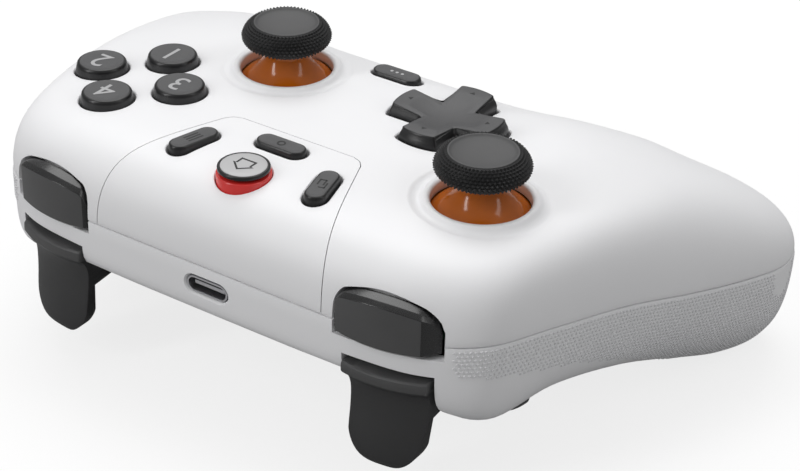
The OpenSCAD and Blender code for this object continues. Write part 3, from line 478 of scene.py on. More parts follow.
def treeOf(mesh):
    return BVHTree.FromPolygons([v.co for v in mesh.vertices], [p.vertices for p in mesh.polygons])


upperTree = treeOf(upperSolid)


def faceTop(x, y):
    hit = upperTree.ray_cast(Vector((x * mm, y * mm, 0.1)), Vector((0, 0, -1)))
    return hit[0].z / mm if hit[0] else 30.0  # beside the face


# Cutter for a hole in the face whose rim is rounded off; the rim follows the curved face
def rimCutter(line, lip, depth, steps=4):
    heights = [faceTop(x, y) for x, y in grown(line, lip)]
    rings = []
    for offset, drop in [(lip * 0.74, -4.0)] + [
            (lip * (1 - math.sin(a)), lip * (1 - math.cos(a))) for a in np.linspace(0.26, math.pi / 2, steps)]:
        rings.append([(x, y, z - drop) for (x, y), z in zip(grown(line, offset), heights)])
    low = min(heights) - depth
    rings.append([(x, y, low) for x, y in line])
    return ringSkin(rings)


def prismCutter(line, z0, z1):
    return ringSkin(upright(line, z0, z1))


def joinCutters(name, cutters):
    mesh = meshFrom(name, *joinSkins(cutters))
    smoothShade(mesh, 40)
    mesh.polygons.foreach_set("material_index", [1] * len(mesh.polygons))
    return mesh


def boolean(solid, tool, how):
    base, cut = newObject("carveBase", solid), newObject("carveTool", tool)
    carve = base.modifiers.new("carve", "BOOLEAN")
    carve.operation, carve.solver, carve.object = how, "EXACT", cut
    return bakedMesh(base, cut)


# After a cut, every face takes its normals from the face that it was cut from
def borrowNormals(mesh, solid, tool, flip):
    parts = []
    for source, sign in ((solid, 1), (tool, flip)):
        parts.append((source, treeOf(source), [n.vector.copy() for n in source.corner_normals], sign))
    normals = [None] * len(mesh.loops)
    for poly in mesh.polygons:
        source, tree, corners, sign = parts[min(poly.material_index, 1)]
        near = tree.find_nearest(poly.center)
        face = source.polygons[near[2]]
        points = [source.vertices[v].co for v in face.vertices]
        for li in poly.loop_indices:
            weights = poly_3d_calc(points, mesh.vertices[mesh.loops[li].vertex_index].co)
            n = Vector((0, 0, 0))
            for w, ci in zip(weights, face.loop_indices):
                n += corners[ci] * w
            n = n.normalized() * sign if n.length > 1e-6 else poly.normal.copy()
            normals[li] = n if n.dot(poly.normal) > 0.2 else poly.normal.copy()
    mesh.polygons.foreach_set("use_smooth", [True] * len(mesh.polygons))
    mesh.normals_split_custom_set(normals)


def carved(solid, cutters, how="DIFFERENCE"):
    tool = joinCutters("carveTool", cutters)
    result = boolean(solid, tool, how)
    borrowNormals(result, solid, tool, -1 if how == "DIFFERENCE" else 1)
    return result


# Places and sizes on the face, shared by the holes and the pieces in them; foot is the rubber pad's height
layout = dict(outerX=38.3, outerY=18.1, innerX=18.5, innerY=-1.9, pitch=9.65, homeY=35.5, slantX=14.3, slantY=31.8,
              slant=14, captureY=24.5, modeY=-12.4)
faceButton = dict(radius=5.05, gap=0.3, lip=0.35, depth=8, foot=38.6, top=1.96, crown=0.04, crownReach=17, number=7.0,
                  edgeRing=9, topRing=14)
oval = dict(length=10.6, width=4.4, gap=0.3, lip=0.3, depth=8, foot=36.2, stalk=1.4, top=0.97, topRing=9)
pad = dict(across=21.5, arm=7.2, rise=2.5, step=0.6, gap=0.45, lip=0.35, depth=8, bowl=23.1, bowlR=22, soft=0.25,
           disc=11.8, edge=-0.36, arrow=((8.1, -0.55), (8.9, 0), (8.1, 0.55)))
home = dict(ring=5.0, gap=0.15, lip=0.25, depth=9, foot=36.2, sign=1.985, topRing=10)
collar = dict(bore=8.9, hole=12.86, cut=(38, 56))
stickSpots = dict(left=(-layout["outerX"], layout["outerY"]), right=(layout["innerX"], layout["innerY"]))
buttonSpots = dict(
    south=(layout["outerX"], layout["outerY"] - layout["pitch"]),
    east=(layout["outerX"] + layout["pitch"], layout["outerY"]),
    west=(layout["outerX"] - layout["pitch"], layout["outerY"]),
    north=(layout["outerX"], layout["outerY"] + layout["pitch"]))
ovalSpots = dict(menu=(layout["slantX"], layout["slantY"], 90 - layout["slant"]),
                 view=(-layout["slantX"], layout["slantY"], 90 + layout["slant"]),
                 capture=(0, layout["captureY"], 0), mode=(0, layout["modeY"], 0))
padSpot = (-layout["innerX"], layout["innerY"])


def padLine(grow, corner=0.9, notch=0.5):
    r, h = pad["across"] / 2 + grow, pad["arm"] / 2 + grow
    reach = math.asin(h / r)
    arm = [(r * math.cos(a), r * math.sin(a)) for a in np.linspace(-reach, reach, 9)] + [(h, h)]
    line, bends = [], []
    for k in range(4):
        c, s = math.cos(k * math.pi / 2), math.sin(k * math.pi / 2)
        line += [(c * x - s * y, s * x + c * y) for x, y in arm]
        bends += [corner] + [0] * 7 + [corner, notch]
    return roundCorners(line, bends, 4)


panel = dict(back=19.7, backW=12.4, sideW=15.2, sideY=21.6, frontW=25.0, groove=0.16, corner=1.5, cut=(25, 60))


def panelLine(grow):
    a = (panel["backW"] + grow / 2, panel["back"] - grow)
    b = (panel["sideW"] + grow, panel["sideY"] - grow / 2)
    c = (panel["frontW"] + grow, bodyForm["frontY"] + 0.2)
    d = (panel["frontW"] + grow, bodyForm["frontY"] + 8)
    half = [a, (a[0] + 0.45 * (b[0] - a[0]) + 0.5, a[1] + 0.45 * (b[1] - a[1]) - 0.25), b, c, d]
    line = half + [(-x, y) for x, y in half[::-1]]
    bends = [panel["corner"]] * 3
    return roundCorners(line, bends + [0] * 4 + bends, 6)


# Bumpers and triggers are bowed in plan about one upright axis on each side
bumper = dict(x0=27.6, x1=46.6, front=47.9, low=31.4, high=41.4, thick=3.0, gap=0.3, swing=0.6, bow=24.0, apex=6.4,
              crown=26.0, crownAt=9.2, chamfer=2.6, chamferRise=1.0, chamferBow=0.36, foot=0.8,
              bends=[0, 0.25, 0.16, 0.14, 0.45, 0.3, 0], bendSteps=3, frontFace=8, pocketEnds=1.2)
bumperEnd = dict(innerRun=1.5, innerFall=0.4, innerSteep=2.4, innerDrop=2.6, innerGrow=0.7,
                 outerRun=2.6, outerFall=1.7, outerSteep=1.25, outerDrop=3.0)
bowX, bowY = bumper["x0"] + bumper["apex"], bumper["front"] - bumper["bow"]


def bowDrop(x):
    return bumper["bow"] - math.sqrt(bumper["bow"] ** 2 - (x - bowX) ** 2)


def bumperTop(x):
    return bumper["high"] - (x - bumper["x0"] - bumper["crownAt"]) ** 2 / (2 * bumper["crown"])


# Stations of a bumper: place along X, fall of the front and of the upper edge; g moves the ends out
def bumperStations(g, steps=7):
    x0, x1 = bumper["x0"], bumper["x1"]
    ends = [i / steps for i in range(steps)]
    bend = [1 - math.sqrt(1 - (1 - u) ** 2) for u in ends]
    end = bumperEnd
    inner = [(x0 + end["innerRun"] * u - end["innerGrow"] * g,
              end["innerFall"] * max(0.0, 1 - end["innerSteep"] * u) ** 2, end["innerDrop"] * b)
             for u, b in zip(ends, bend)]
    middle = [(x, 0.0, 0.0) for x in np.linspace(x0 + end["innerRun"] + 0.3, x1 - end["outerRun"] - 0.2, 22)]
    outer = [(x1 - end["outerRun"] * u + g,
              end["outerFall"] * max(0.0, 1 - u * end["outerSteep"]), end["outerDrop"] * b)
             for u, b in zip(ends[::-1], bend[::-1])]
    return inner + middle + outer


def atBow(x, fall, section):
    r = bumper["bow"] - fall
    c = (x - bowX) / r
    q = math.sqrt(1 - c * c)
    return [(bowX + p * c, bowY + p * q, z) for p, z in section]


def mirrored(rings, side):
    return rings if side > 0 else [[(-x, y, z) for x, y, z in ring] for ring in rings]


def bumperSpace(side):
    r0 = bumper["bow"] - bumper["thick"] - bumper["swing"] - bumper["gap"]
    r1, low = bumper["bow"] + 8, bumper["low"] - bumper["gap"]
    rings = []
    for x, fall, drop in bumperStations(bumper["pocketEnds"] * bumper["gap"]):
        top = bumperTop(x) - drop + bumper["gap"]
        rings.append(atBow(x, fall, [(r0, low), (r1, low), (r1, top), (r0, top)]))
    return ringSkin(mirrored(rings, side))


def bumperHoles():
    return [bumperSpace(side) for side in (1, -1)]


def ovalHole():
    return stadiumLine(oval["length"] + 2 * oval["gap"], oval["width"] + 2 * oval["gap"])


def faceHole(piece, line, *spot):
    return rimCutter(moved(line, *spot), piece["lip"], piece["depth"])


def panelHoles():
    holes = [faceHole(oval, ovalHole(), *ovalSpots[n]) for n in ("menu", "view", "capture")]
    return holes + [faceHole(home, circleLine(home["ring"] + home["gap"]), 0, layout["homeY"])]


def frontHoles():
    line = circleLine(faceButton["radius"] + faceButton["gap"])
    holes = [faceHole(faceButton, line, *spot) for spot in buttonSpots.values()]
    holes += [prismCutter(moved(circleLine(collar["hole"]), *spot), *collar["cut"]) for spot in stickSpots.values()]
    holes.append(faceHole(pad, padLine(pad["step"] + pad["gap"], 1.2, 0.3), *padSpot))
    holes.append(faceHole(oval, ovalHole(), *ovalSpots["mode"]))
    return holes


panelGap = prismCutter(panelLine(panel["groove"]), *panel["cut"])
frontMesh = carved(upperSolid, frontHoles() + bumperHoles() + [panelGap])
settle("frontShell", frontMesh, [whiteShell, whiteShell], "case", "white_shell", "front_shell", angle=0)
panelSolid = carved(upperSolid, [prismCutter(panelLine(0), *panel["cut"])], "INTERSECT")
panelMesh = carved(panelSolid, panelHoles())
settle("centrePanel", panelMesh, [whiteShell, whiteShell], "case", "white_shell", "centre_panel", angle=0)
print("front shell and panel:", len(frontMesh.polygons), len(panelMesh.polygons))


# Rear shell with the openings for bumpers, triggers, socket, screws and paddles
trigger = dict(x0=29.6, x1=45.4, front=47.9, high=27.4, low=6.2, pinY=36.4, pinZ=26.6, slotY=32.4, tip=7.1, wall=2.0,
               web=10.9, boss=3.0, slotIn=0.4, slotOut=0.8, slotUp=0.3, back=20, edge=0.3, brow=3.25)
socket = dict(width=8.94, height=3.26, z=29.47, gap=0.2,
              rims=[(40, 0.0), (46.3, 0.0), (46.62, 0.12), (46.95, 0.42), (52, 0.42)])  # y, growth of the opening
screws = dict(spots=[(23.2, 33.6, 27.2), (27.5, -16.5, 27.2), (57.5, -31.0, 12.0)], head=2.3, gap=0.2)
paddle = dict(x=47.0, y=18.5, length=22.0, width=8.0, turn=68, gap=0.3, cut=(-3, 25))
beyond = dict(front=70, under=-5)  # cutters end outside the case


def rearHoles():
    holes = bumperHoles()
    for s in (1, -1):
        x = sorted((s * (trigger["x0"] - trigger["slotIn"]), s * (trigger["x1"] + trigger["slotOut"])))
        holes.append(prismCutter(
            rectLine(*x, trigger["slotY"], beyond["front"]), beyond["under"], trigger["high"] + trigger["slotUp"]))
        holes += [prismCutter(moved(circleLine(screws["head"] + screws["gap"], 32), s * x, y), beyond["under"], z)
                  for x, y, z in screws["spots"]]
        line = stadiumLine(paddle["length"] + 2 * paddle["gap"], paddle["width"] + 2 * paddle["gap"])
        holes.append(prismCutter(moved(line, s * paddle["x"], paddle["y"], s * paddle["turn"]), *paddle["cut"]))
    line = stadiumLine(socket["width"] + 2 * socket["gap"], socket["height"] + 2 * socket["gap"])
    holes.append(ringSkin([[(x, y, socket["z"] + z) for x, z in grown(line, out)] for y, out in socket["rims"]]))
    return holes


rearMesh = carved(lowerSolid, rearHoles())
settle("rearShell", rearMesh, [whiteShell, whiteShell], "case", "white_shell", "rear_shell", angle=0)
print("rear shell:", len(rearMesh.polygons))


# Bumpers: bowed plates with a half-gloss chamfer round a matt front; the chamfer, rounded ends, underside and lugs
# are also painted far darker than the front, as painted shade; lugs span x from the inner end, y and z
bumperLugs = dict(lug=(0.4, 3.6, 39.7, 45.8, 33.0, 37.0), arm=(-4.6, 3.6, 39.7, 43.3, 33.0, 37.0),
                  nub=(12.4, 13.6, 39.1, 46.2, 34.8, 36.8))
handSides = (("right", 1), ("left", -1))


def bumperPiece(name, side, body):
    rings, marks = [], []
    stations = bumperStations(0)
    r0 = bumper["bow"] - bumper["thick"]
    for x, fall, drop in stations:
        r, top = bumper["bow"] - fall, bumperTop(x) - drop
        back = max(r - bumper["chamfer"], r0 + 0.25)
        low, foot = bumper["low"], bumper["foot"]
        corners = [(r0, low), (r - foot, low), (r, low + foot), (r, top - bumper["chamferRise"]),
                   (r * 0.62 + back * 0.38, top - bumper["chamferBow"]), (back, top), (r0, top)]
        rings.append(atBow(x, fall, roundCorners(corners, bumper["bends"], bumper["bendSteps"])))
    count = len(rings[0])
    for j in range(len(rings) - 1):
        flat = max(stations[j][1], stations[j + 1][1]) < 0.02  # short of the rounded ends
        # Only the flat front takes the lighter finish; every other face takes the painted shade finish
        marks += [0 if i == bumper["frontFace"] and flat else 1 for i in range(count)]
    marks += [1, 1]
    skins = [ringSkin(mirrored(rings, side))]
    for x0, x1, y0, y1, z0, z1 in bumperLugs.values():
        line = rectLine(bumper["x0"] + x0, bumper["x0"] + x1, y0, y1)
        skins.append(ringSkin(mirrored(upright(line, z0, z1), side)))
        marks += [1] * len(skins[-1][1])
    verts, faces = joinSkins(skins)
    mesh = meshFrom(name, verts, faces, marks)
    settle(name, mesh, [shoulderFace, shoulderShadedEdge], body, "shoulder", body, angle=30)


for side, sign in handSides:
    bumperPiece(side + "Bumper", sign, side + "_bumper")
print("bumpers made")


# Triggers: a scooped tongue under a brow, bowed like the bumpers; the tongue is painted darker than the brow as
# painted shade of the scoop
def triggerSide():
    y, z0, z1, py, pz = (trigger[k] for k in ("front", "low", "high", "pinY", "pinZ"))
    front = softCurve([(y - 3.8, z0 + 0.4), (y - 2.7, z0), (y - 1.85, z0 + 0.9), (y - 1.6, z0 + 2.6),
                       (y - 1.95, z0 + 6.5), (y - 2.5, z0 + 10), (y - 2.75, z1 - 7.6), (y - 2.3, z1 - 5.4),
                       (y - 1.35, z1 - 3.9), (y - 0.3, z1 - 3.2)], 3)
    rest = [(y, z1 - 2.7), (y - 0.1, z1 - 1.2), (y - 0.5, z1 - 0.9), (y - 3.4, z1 - 0.8), (y - 3.8, z1), (y - 5, z1)]
    webs = [(py, pz + 2.2), (py - 2, pz - 1.5), (py + 1.8, z0 + trigger["web"] + 0.4)]
    back = [(y - 4.5, z0 + trigger["web"]), (y - 4.4, z0 + 5)]
    return [(*p, 1) for p in front + rest] + [(*p, 0) for p in webs] + [(*p, 1) for p in back]


def triggerPocket():
    y, z0, z1, py = (trigger[k] for k in ("front", "low", "high", "pinY"))
    return [(py - 6, z0 + 4, 0), (y - 4.2, z0 + 4, 1), (y - 4.1, z0 + 8, 1), (y - 3.9, z1 - 6, 1),
            (py + 4, z1 - 6, 0), (py - 6, z0 + 15.4, 0)]


def triggerFront(g):
    x0, x1, z1, z0 = trigger["x0"] + g, trigger["x1"] - g, trigger["high"], trigger["low"]
    r = trigger["tip"] - g
    cx, cz = (trigger["x0"] + trigger["x1"]) / 2 - 0.4, z0 + trigger["tip"]
    turns = np.linspace(math.radians(-12), math.radians(-168), 33)
    tip = [(cx + r * math.cos(a), cz + r * math.sin(a)) for a in turns]
    right = softCurve([(x1, z1 - 2.2), (x1 - 0.35, z1 - 4.2), (x1 - 0.55, z1 - 7.5), tip[0]], 5)[:-1]
    left = softCurve([tip[-1], (x0 + 0.35, z1 - 7.5), (x0 + 0.2, z1 - 4.2), (x0, z1 - 2.2)], 5)[1:]
    return [(x1, z1 + 5)] + right + tip + left + [(x0, z1 + 5)]


def bowedSkin(profile, steps=26):
    rings = []
    for x in np.linspace(trigger["x0"] - 1, trigger["x1"] + 1, steps):
        rings.append([(x, y - share * bowDrop(x), z) for y, z, share in profile])
    return ringSkin(rings)


def softEdges(mesh, width, angle=35, segments=3):
    holder = newObject("edgeHolder", mesh)
    soft = holder.modifiers.new("soft", "BEVEL")
    soft.width, soft.segments, soft.limit_method = width * mm, segments, "ANGLE"
    soft.angle_limit = math.radians(angle)
    soft.harden_normals = True
    return bakedMesh(holder)


# A bowed side profile cut to the trigger's outline as seen from the front, drawn in by g
def triggerSolid(profile, g):
    outline = [[(x, y, z) for x, z in triggerFront(g)] for y in (trigger["front"] + 1, trigger["back"])]
    return boolean(meshFrom("tongue", *bowedSkin(profile)), meshFrom("outline", *ringSkin(outline)), "INTERSECT")


def triggerPiece(name, side, body):
    tongue = softEdges(triggerSolid(triggerSide(), 0), trigger["edge"])
    tongue = boolean(tongue, triggerSolid(triggerPocket(), trigger["wall"]), "DIFFERENCE")
    work = bmesh.new()
    work.from_mesh(tongue)
    boss = bmesh.ops.create_cone(
        work, cap_ends=True, segments=40, radius1=trigger["boss"] * mm, radius2=trigger["boss"] * mm,
        depth=(trigger["x1"] - trigger["x0"]) * mm)
    middle = Vector(((trigger["x0"] + trigger["x1"]) / 2, trigger["pinY"], trigger["pinZ"])) * mm
    place = Matrix.Translation(middle) @ Matrix.Rotation(math.pi / 2, 4, "Y")
    bmesh.ops.transform(work, matrix=place, verts=boss["verts"])
    if side < 0:
        bmesh.ops.scale(work, vec=(-1, 1, 1), verts=work.verts)
        bmesh.ops.reverse_faces(work, faces=work.faces)
    work.to_mesh(tongue)
    work.free()
    tongue.materials.clear()
    # Faces below the brow take the painted shade finish, the brow the lighter bumper finish
    brow = [0 if p.center.z > (trigger["high"] - trigger["brow"]) * mm else 1 for p in tongue.polygons]
    tongue.polygons.foreach_set("material_index", brow)
    settle(name, tongue, [shoulderFace, tongueShade], body, "shoulder", body, angle=32)


for side, sign in handSides:
    triggerPiece(side + "Trigger", sign, side + "_trigger")
print("triggers made")


# Geometry Nodes tree: small studs stood on points, turned to each point's facing
def makeStudTree():
    tree = bpy.data.node_groups.new("studsOnPoints", "GeometryNodeTree")
    addSockets(tree, "INPUT", "Geometry", "Points")
    addSockets(tree, "INPUT", "Int", "Sides")
    addSockets(tree, "INPUT", "Float", "Foot Radius", "Top Radius", "Height")
    addSockets(tree, "INPUT", "Material", "Finish")
    addSockets(tree, "OUTPUT", "Geometry", "Studs")
    nodes, links = tree.nodes, tree.links
    come, go = nodes.new("NodeGroupInput"), nodes.new("NodeGroupOutput")
    stud = nodes.new("GeometryNodeMeshCone")
    turns = []
    size = addNode(nodes, "GeometryNodeInputNamedAttribute", {"Name": "size"}, data_type="FLOAT")
    for name, axis in (("facing", "Z"), ("along", "X")):
        pick = addNode(nodes, "GeometryNodeInputNamedAttribute", {"Name": name}, data_type="FLOAT_VECTOR")
        turns.append(addNode(nodes, "FunctionNodeAlignRotationToVector", {}, axis=axis))
        wire(links, (pick, "Attribute", turns[-1], "Vector"))
    turns[1].pivot_axis = "Z"
    stand = nodes.new("GeometryNodeInstanceOnPoints")
    real = nodes.new("GeometryNodeRealizeInstances")
    coat = nodes.new("GeometryNodeSetMaterial")
    wire(links, (turns[0], "Rotation", turns[1], "Rotation"), (come, "Sides", stud, "Vertices"),
         (come, "Foot Radius", stud, "Radius Bottom"), (come, "Top Radius", stud, "Radius Top"),
         (come, "Height", stud, "Depth"), (come, "Points", stand, "Points"), (stud, "Mesh", stand, "Instance"),
         (turns[1], "Rotation", stand, "Rotation"), (size, "Attribute", stand, "Scale"),
         (stand, "Instances", real, "Geometry"), (real, "Geometry", coat, "Geometry"),
         (come, "Finish", coat, "Material"), (coat, "Geometry", go, "Studs"))
    return tree


studTree = makeStudTree()


# Points with their facing and a direction along, baked through the stud tree into one plain mesh
def bakeStuds(name, points, facings, alongs, shares, sides, foot, top, height, finish):
    cloud = bpy.data.meshes.new(name + "Points")
    cloud.from_pydata([tuple(np.array(p) * mm) for p in points], [], [])
    for label, values in (("facing", facings), ("along", alongs)):
        data = cloud.attributes.new(label, "FLOAT_VECTOR", "POINT")
        data.data.foreach_set("vector", np.array(values, np.float32).ravel())
    cloud.attributes.new("size", "FLOAT", "POINT").data.foreach_set("value", np.array(shares, np.float32))
    holder = newObject(name + "Points", cloud)
    grow = holder.modifiers.new("studs", "NODES")
    grow.node_group = studTree
    names = {item.name: item.identifier for item in studTree.interface.items_tree if item.in_out == "INPUT"}
    values = {"Sides": sides, "Foot Radius": foot * mm, "Top Radius": top * mm, "Height": height * mm,
              "Finish": finish}
    for key, value in values.items():
        grow[names[key]] = value
    mesh = bakedMesh(holder)
    for label in ("facing", "along", "size"):
        if label in mesh.attributes:
            mesh.attributes.remove(mesh.attributes[label])
    mesh.materials.clear()
    return mesh


# Sticks: collar, glossy bell and knurled cap
stick = dict(pivotDrop=8.2, dome=11.1, neck=4.1, skirtDeg=74, skirt=1.1, bore=1.68, boreTop=13.3, neckTop=15.6,
             capR=8.7, capLift=13.7, capT=4.5, dish=0.95, dishR=5.85, socket=15.65)
knurl = dict(rows=10, count=62, sides=4, height=0.42, foot=0.5, top=0.06, sunk=0.05, fullR=8.3)
sideFace = dict(high=47.65, slope=0.045, start=29.0)


def sideHeight(x):
    return sideFace["high"] - sideFace["slope"] * max(abs(x) - sideFace["start"], 0)


def stemRings(centre):
    r, neck = stick["dome"], stick["neck"]
    dome = [(r * math.sin(a), r * math.cos(a)) for a in np.radians(np.linspace(stick["skirtDeg"], 53, 12))]
    bell = softCurve([dome[-1], (7.8, 7.5), (6.6, 8.35), (5.6, 9.25), (4.9, 10.15), (4.4, 11.1), (4.15, 12.1),
                      (4.12, 13.75)], 6)[1:]
    top = [(neck, stick["neckTop"]), (0, stick["neckTop"]), (0, stick["boreTop"]), (stick["bore"], stick["boreTop"])]
    inner = [((r - stick["skirt"]) * math.sin(a), (r - stick["skirt"]) * math.cos(a))
             for a in np.radians(np.linspace(10, stick["skirtDeg"], 12))]
    return lathe(dome + bell + top + inner, centre, 128)


def capProfile():
    lift, r, top = stick["capLift"], stick["capR"] - knurl["height"], stick["capLift"] + stick["capT"]
    return softCurve([(r - 1.5, lift + 0.12), (r - 0.65, lift + 0.5), (r - 0.1, lift + 1.25), (r - 0.05, lift + 2.1),
                      (r - 0.65, top - 1.2), (r - 1.45, top - 0.42), (r - 1.85, top - 0.2)], 5)


def capRings(centre):
    lift, top, dish = stick["capLift"], stick["capLift"] + stick["capT"], stick["dishR"]
    under = [(stick["neck"] + 0.05, lift), (stick["neck"] + 1.2, lift), (6.2, lift + 0.04)]
    bend = ((0.46, 0.1), (0.38, 0.02), (0.25, 0), (0.1, 0.04), (-0.04, 0.18))
    rim = [(dish + out, top - drop) for out, drop in bend]
    bowl = [(dish * u, top - stick["dish"] + 0.72 * u ** 3) for u in np.linspace(0.96, 0, 14)]
    hollow = [(0, stick["socket"]), (stick["neck"] + 0.05, stick["socket"])]
    profile = under + capProfile() + rim + bowl + hollow
    return lathe(profile, centre, 128), len(under) + len(capProfile()) + 1, len(profile)


def knurlPoints(centre):
    line = np.array(capProfile())
    gone = lengthAlong(line)
    points, facings, alongs, shares = [], [], [], []
    for k in range(knurl["rows"]):
        d = gone[-1] * (k + 0.5) / knurl["rows"]
        behind, (r, z), ahead = (
            np.array([np.interp(d + shift, gone, line[:, axis]) for axis in (0, 1)]) for shift in (-0.1, 0, 0.1))
        t = (ahead - behind) / np.linalg.norm(ahead - behind)
        for i in range(knurl["count"]):
            a = 2 * math.pi * (i + 0.5 * (k % 2)) / knurl["count"]
            c, s = math.cos(a), math.sin(a)
            out = np.array([t[1] * c, t[1] * s, -t[0]])
            points.append(np.array([centre[0] + r * c, centre[1] + r * s, centre[2] + z]) - knurl["sunk"] * out)
            facings.append(out)
            alongs.append((-s, c, 0))
            shares.append(r / knurl["fullR"])
    return points, facings, alongs, shares


# Rim of the face round a stick, raised and run out smoothly into the curved face
flare = dict(crest=10.25, foot=12.9, proud=0.006)


def flarePiece(name, x, y, steps=128):
    base = sideHeight(x)
    flank = [(10.3, 0.78), (10.55, 0.5), (10.9, 0.16), (11.4, -0.06), (12.0, -0.12), (12.5, -0.05),
             (flare["foot"], 0.0)]
    profile = [(10.0, -1.6), (10.0, 0.5), (10.15, 0.84)] + softCurve(flank, 5) + [(flare["foot"], -0.6)]
    rings = []
    for k, (r, z) in enumerate(profile):
        share = min(max((r - flare["crest"]) / (flare["foot"] - flare["crest"]), 0), 1)
        share = share * share * (3 - 2 * share)
        proud = flare["proud"] if 2 < k < len(profile) - 1 else 0
        line = moved(circleLine(r, steps), x, y)
        rings.append([(px, py, base + (faceTop(px, py) - base) * share + z + proud) for px, py in line])
    mesh = meshFrom(name, *ringSkin(rings, looped=True))
    settle(name, mesh, [whiteShell], "case", "white_shell", angle=50)


for side, (x, y) in stickSpots.items():
    face = sideHeight(x)
    pivot = (x, y, face - stick["pivotDrop"])
    body = side + "_thumb_piece"
    bend = ((0, -1.3), (0, 0.3), (0.06, 0.5), (0.25, 0.72), (0.5, 0.86), (0.75, 0.9))
    rim = [(collar["bore"] + out, z) for out, z in bend]
    rim += [(9.95, 0.89), (10.18, 0.83), (10.24, 0.76), (10.24, -1.3)]
    mesh = meshFrom(side + "Collar", *ringSkin(lathe(rim, (x, y, face), 128), looped=True))
    settle(side + "Collar", mesh, [collarWhite], "case", "grey_trim", side + "_collar", angle=50)
    flarePiece(side + "Flare", x, y)
    mesh = meshFrom(side + "Stem", *ringSkin(stemRings(pivot), looped=True))
    settle(side + "Stem", mesh, [orangeGloss], body, "orange", side + "_stem", angle=50)
    rings, dishFrom, dishTo = capRings(pivot)
    verts, faces = ringSkin(rings, looped=True)
    marks = [1 if dishFrom <= k // len(rings[0]) < dishTo - 3 else 0 for k in range(len(faces))]
    settle(side + "Cap", meshFrom(side + "Cap", verts, faces, marks), [capRubber, capDish], body, "grip_rubber",
           side + "_cap", angle=45)
    studs = bakeStuds(side + "Knurl", *knurlPoints(pivot), knurl["sides"], knurl["foot"], knurl["top"],
                      knurl["height"] + knurl["sunk"], capRubber)
    settle(side + "Knurl", studs, [capRubber], body, "grip_rubber", angle=20)
print("sticks made")


# Grip dots on the outside of the handles, in rows that follow the parting line
grip = dict(start=3.5, stop=10.75, pitch=0.9, rowShare=0.87, first=0.75, last=30, height=0.2, foot=0.32, top=0.2,
            sides=6, sunk=0.05, boxGap=0.12, offWall=0.06, middle=(47.0, 0.0, 26.0), step=0.01, deepest=0.7)
gripReach = [(3.5, 5.4), (4.6, 7.2), (5.4, 9.5), (6.2, 14.0), (7.0, 21.0), (8.0, 27.0), (9.0, 30.0), (10.75, 20.0)]


def gripPoints():
    spots = np.arange(grip["start"], grip["stop"], grip["step"])
    rows = np.arange(grip["first"], grip["last"], grip["pitch"] * grip["rowShare"])
    grid = np.zeros((len(rows), len(spots), 3))
    limits = np.interp(spots, *zip(*gripReach))
    for j, t in enumerate(spots):
        row = rowAt(outerRows, t)
        line = sectionPoints(row, evenAngles(row, False, 160), False, bodyForm["seamGap"])[::-1]
        gone = lengthAlong(line)
        limits[j] = min(limits[j], grip["deepest"] * gone[-1])
        for axis in range(3):
            grid[:, j, axis] = np.interp(rows, gone, line[:, axis])
    across, along = np.gradient(grid, axis=0), np.gradient(grid, axis=1)
    facing = np.cross(across, along)
    facing /= np.maximum(np.linalg.norm(facing, axis=2, keepdims=True), 1e-9)
    carvedTree = treeOf(rearMesh)
    low, high = np.array(cadBox[0]) / mm + grip["boxGap"], np.array(cadBox[1]) / mm - grip["boxGap"]
    points, facings, alongs = [], [], []
    for k, d in enumerate(rows):
        steps = lengthAlong(grid[k])
        for place in np.arange(0.5 * (k % 2), steps[-1] / grip["pitch"]):
            j = int(np.searchsorted(steps, place * grip["pitch"]))
            if j >= len(spots) or d > limits[j]:
                continue
            p, n = grid[k, j], facing[k, j]
            n = n if n @ (p - np.array(grip["middle"])) > 0 else -n
            tip = p + n * grip["height"]
            near = carvedTree.find_nearest(Vector(p) * mm)
            past = abs(tip[0]) > high[0] or tip[1] < low[1] or tip[2] < low[2]
            if near[3] > grip["offWall"] * mm or past:
                continue
            points.append(p - n * grip["sunk"])
            facings.append(n)
            alongs.append(along[k, j] / np.linalg.norm(along[k, j]))
    return points, facings, alongs


def gripPieces():
    right = gripPoints()
    for side, sign in handSides:
        name = side + "GripDots"
        turn = np.array([sign, 1, 1])
        points, facings, alongs = ([v * turn for v in group] for group in right)
        dots = bakeStuds(name, points, facings, alongs, [1.0] * len(points), grip["sides"], grip["foot"], grip["top"],
                         grip["height"] + grip["sunk"], gripDot)
        settle(name, dots, [gripDot], "case", "white_shell", angle=20)
        print(name, len(points))


gripPieces()


# Flat lettering made into a thin raised mesh, laid down by a function from flat places to the surface
def letterMesh(text, size, lay, thick=0.035):
    curve = bpy.data.curves.new("letters", "FONT")
    curve.body, curve.size, curve.align_x, curve.align_y = text, size * mm, "CENTER", "CENTER"
    curve.extrude, curve.resolution_u = thick * mm / 2, 4
    mesh = bakedMesh(newObject("letters", curve))
    for v in mesh.vertices:
        v.co = Vector(lay(v.co.x / mm, v.co.y / mm, v.co.z / mm + thick / 2)) * mm
    mergePoints(mesh, 1e-7)
    mesh.materials.clear()
    return mesh


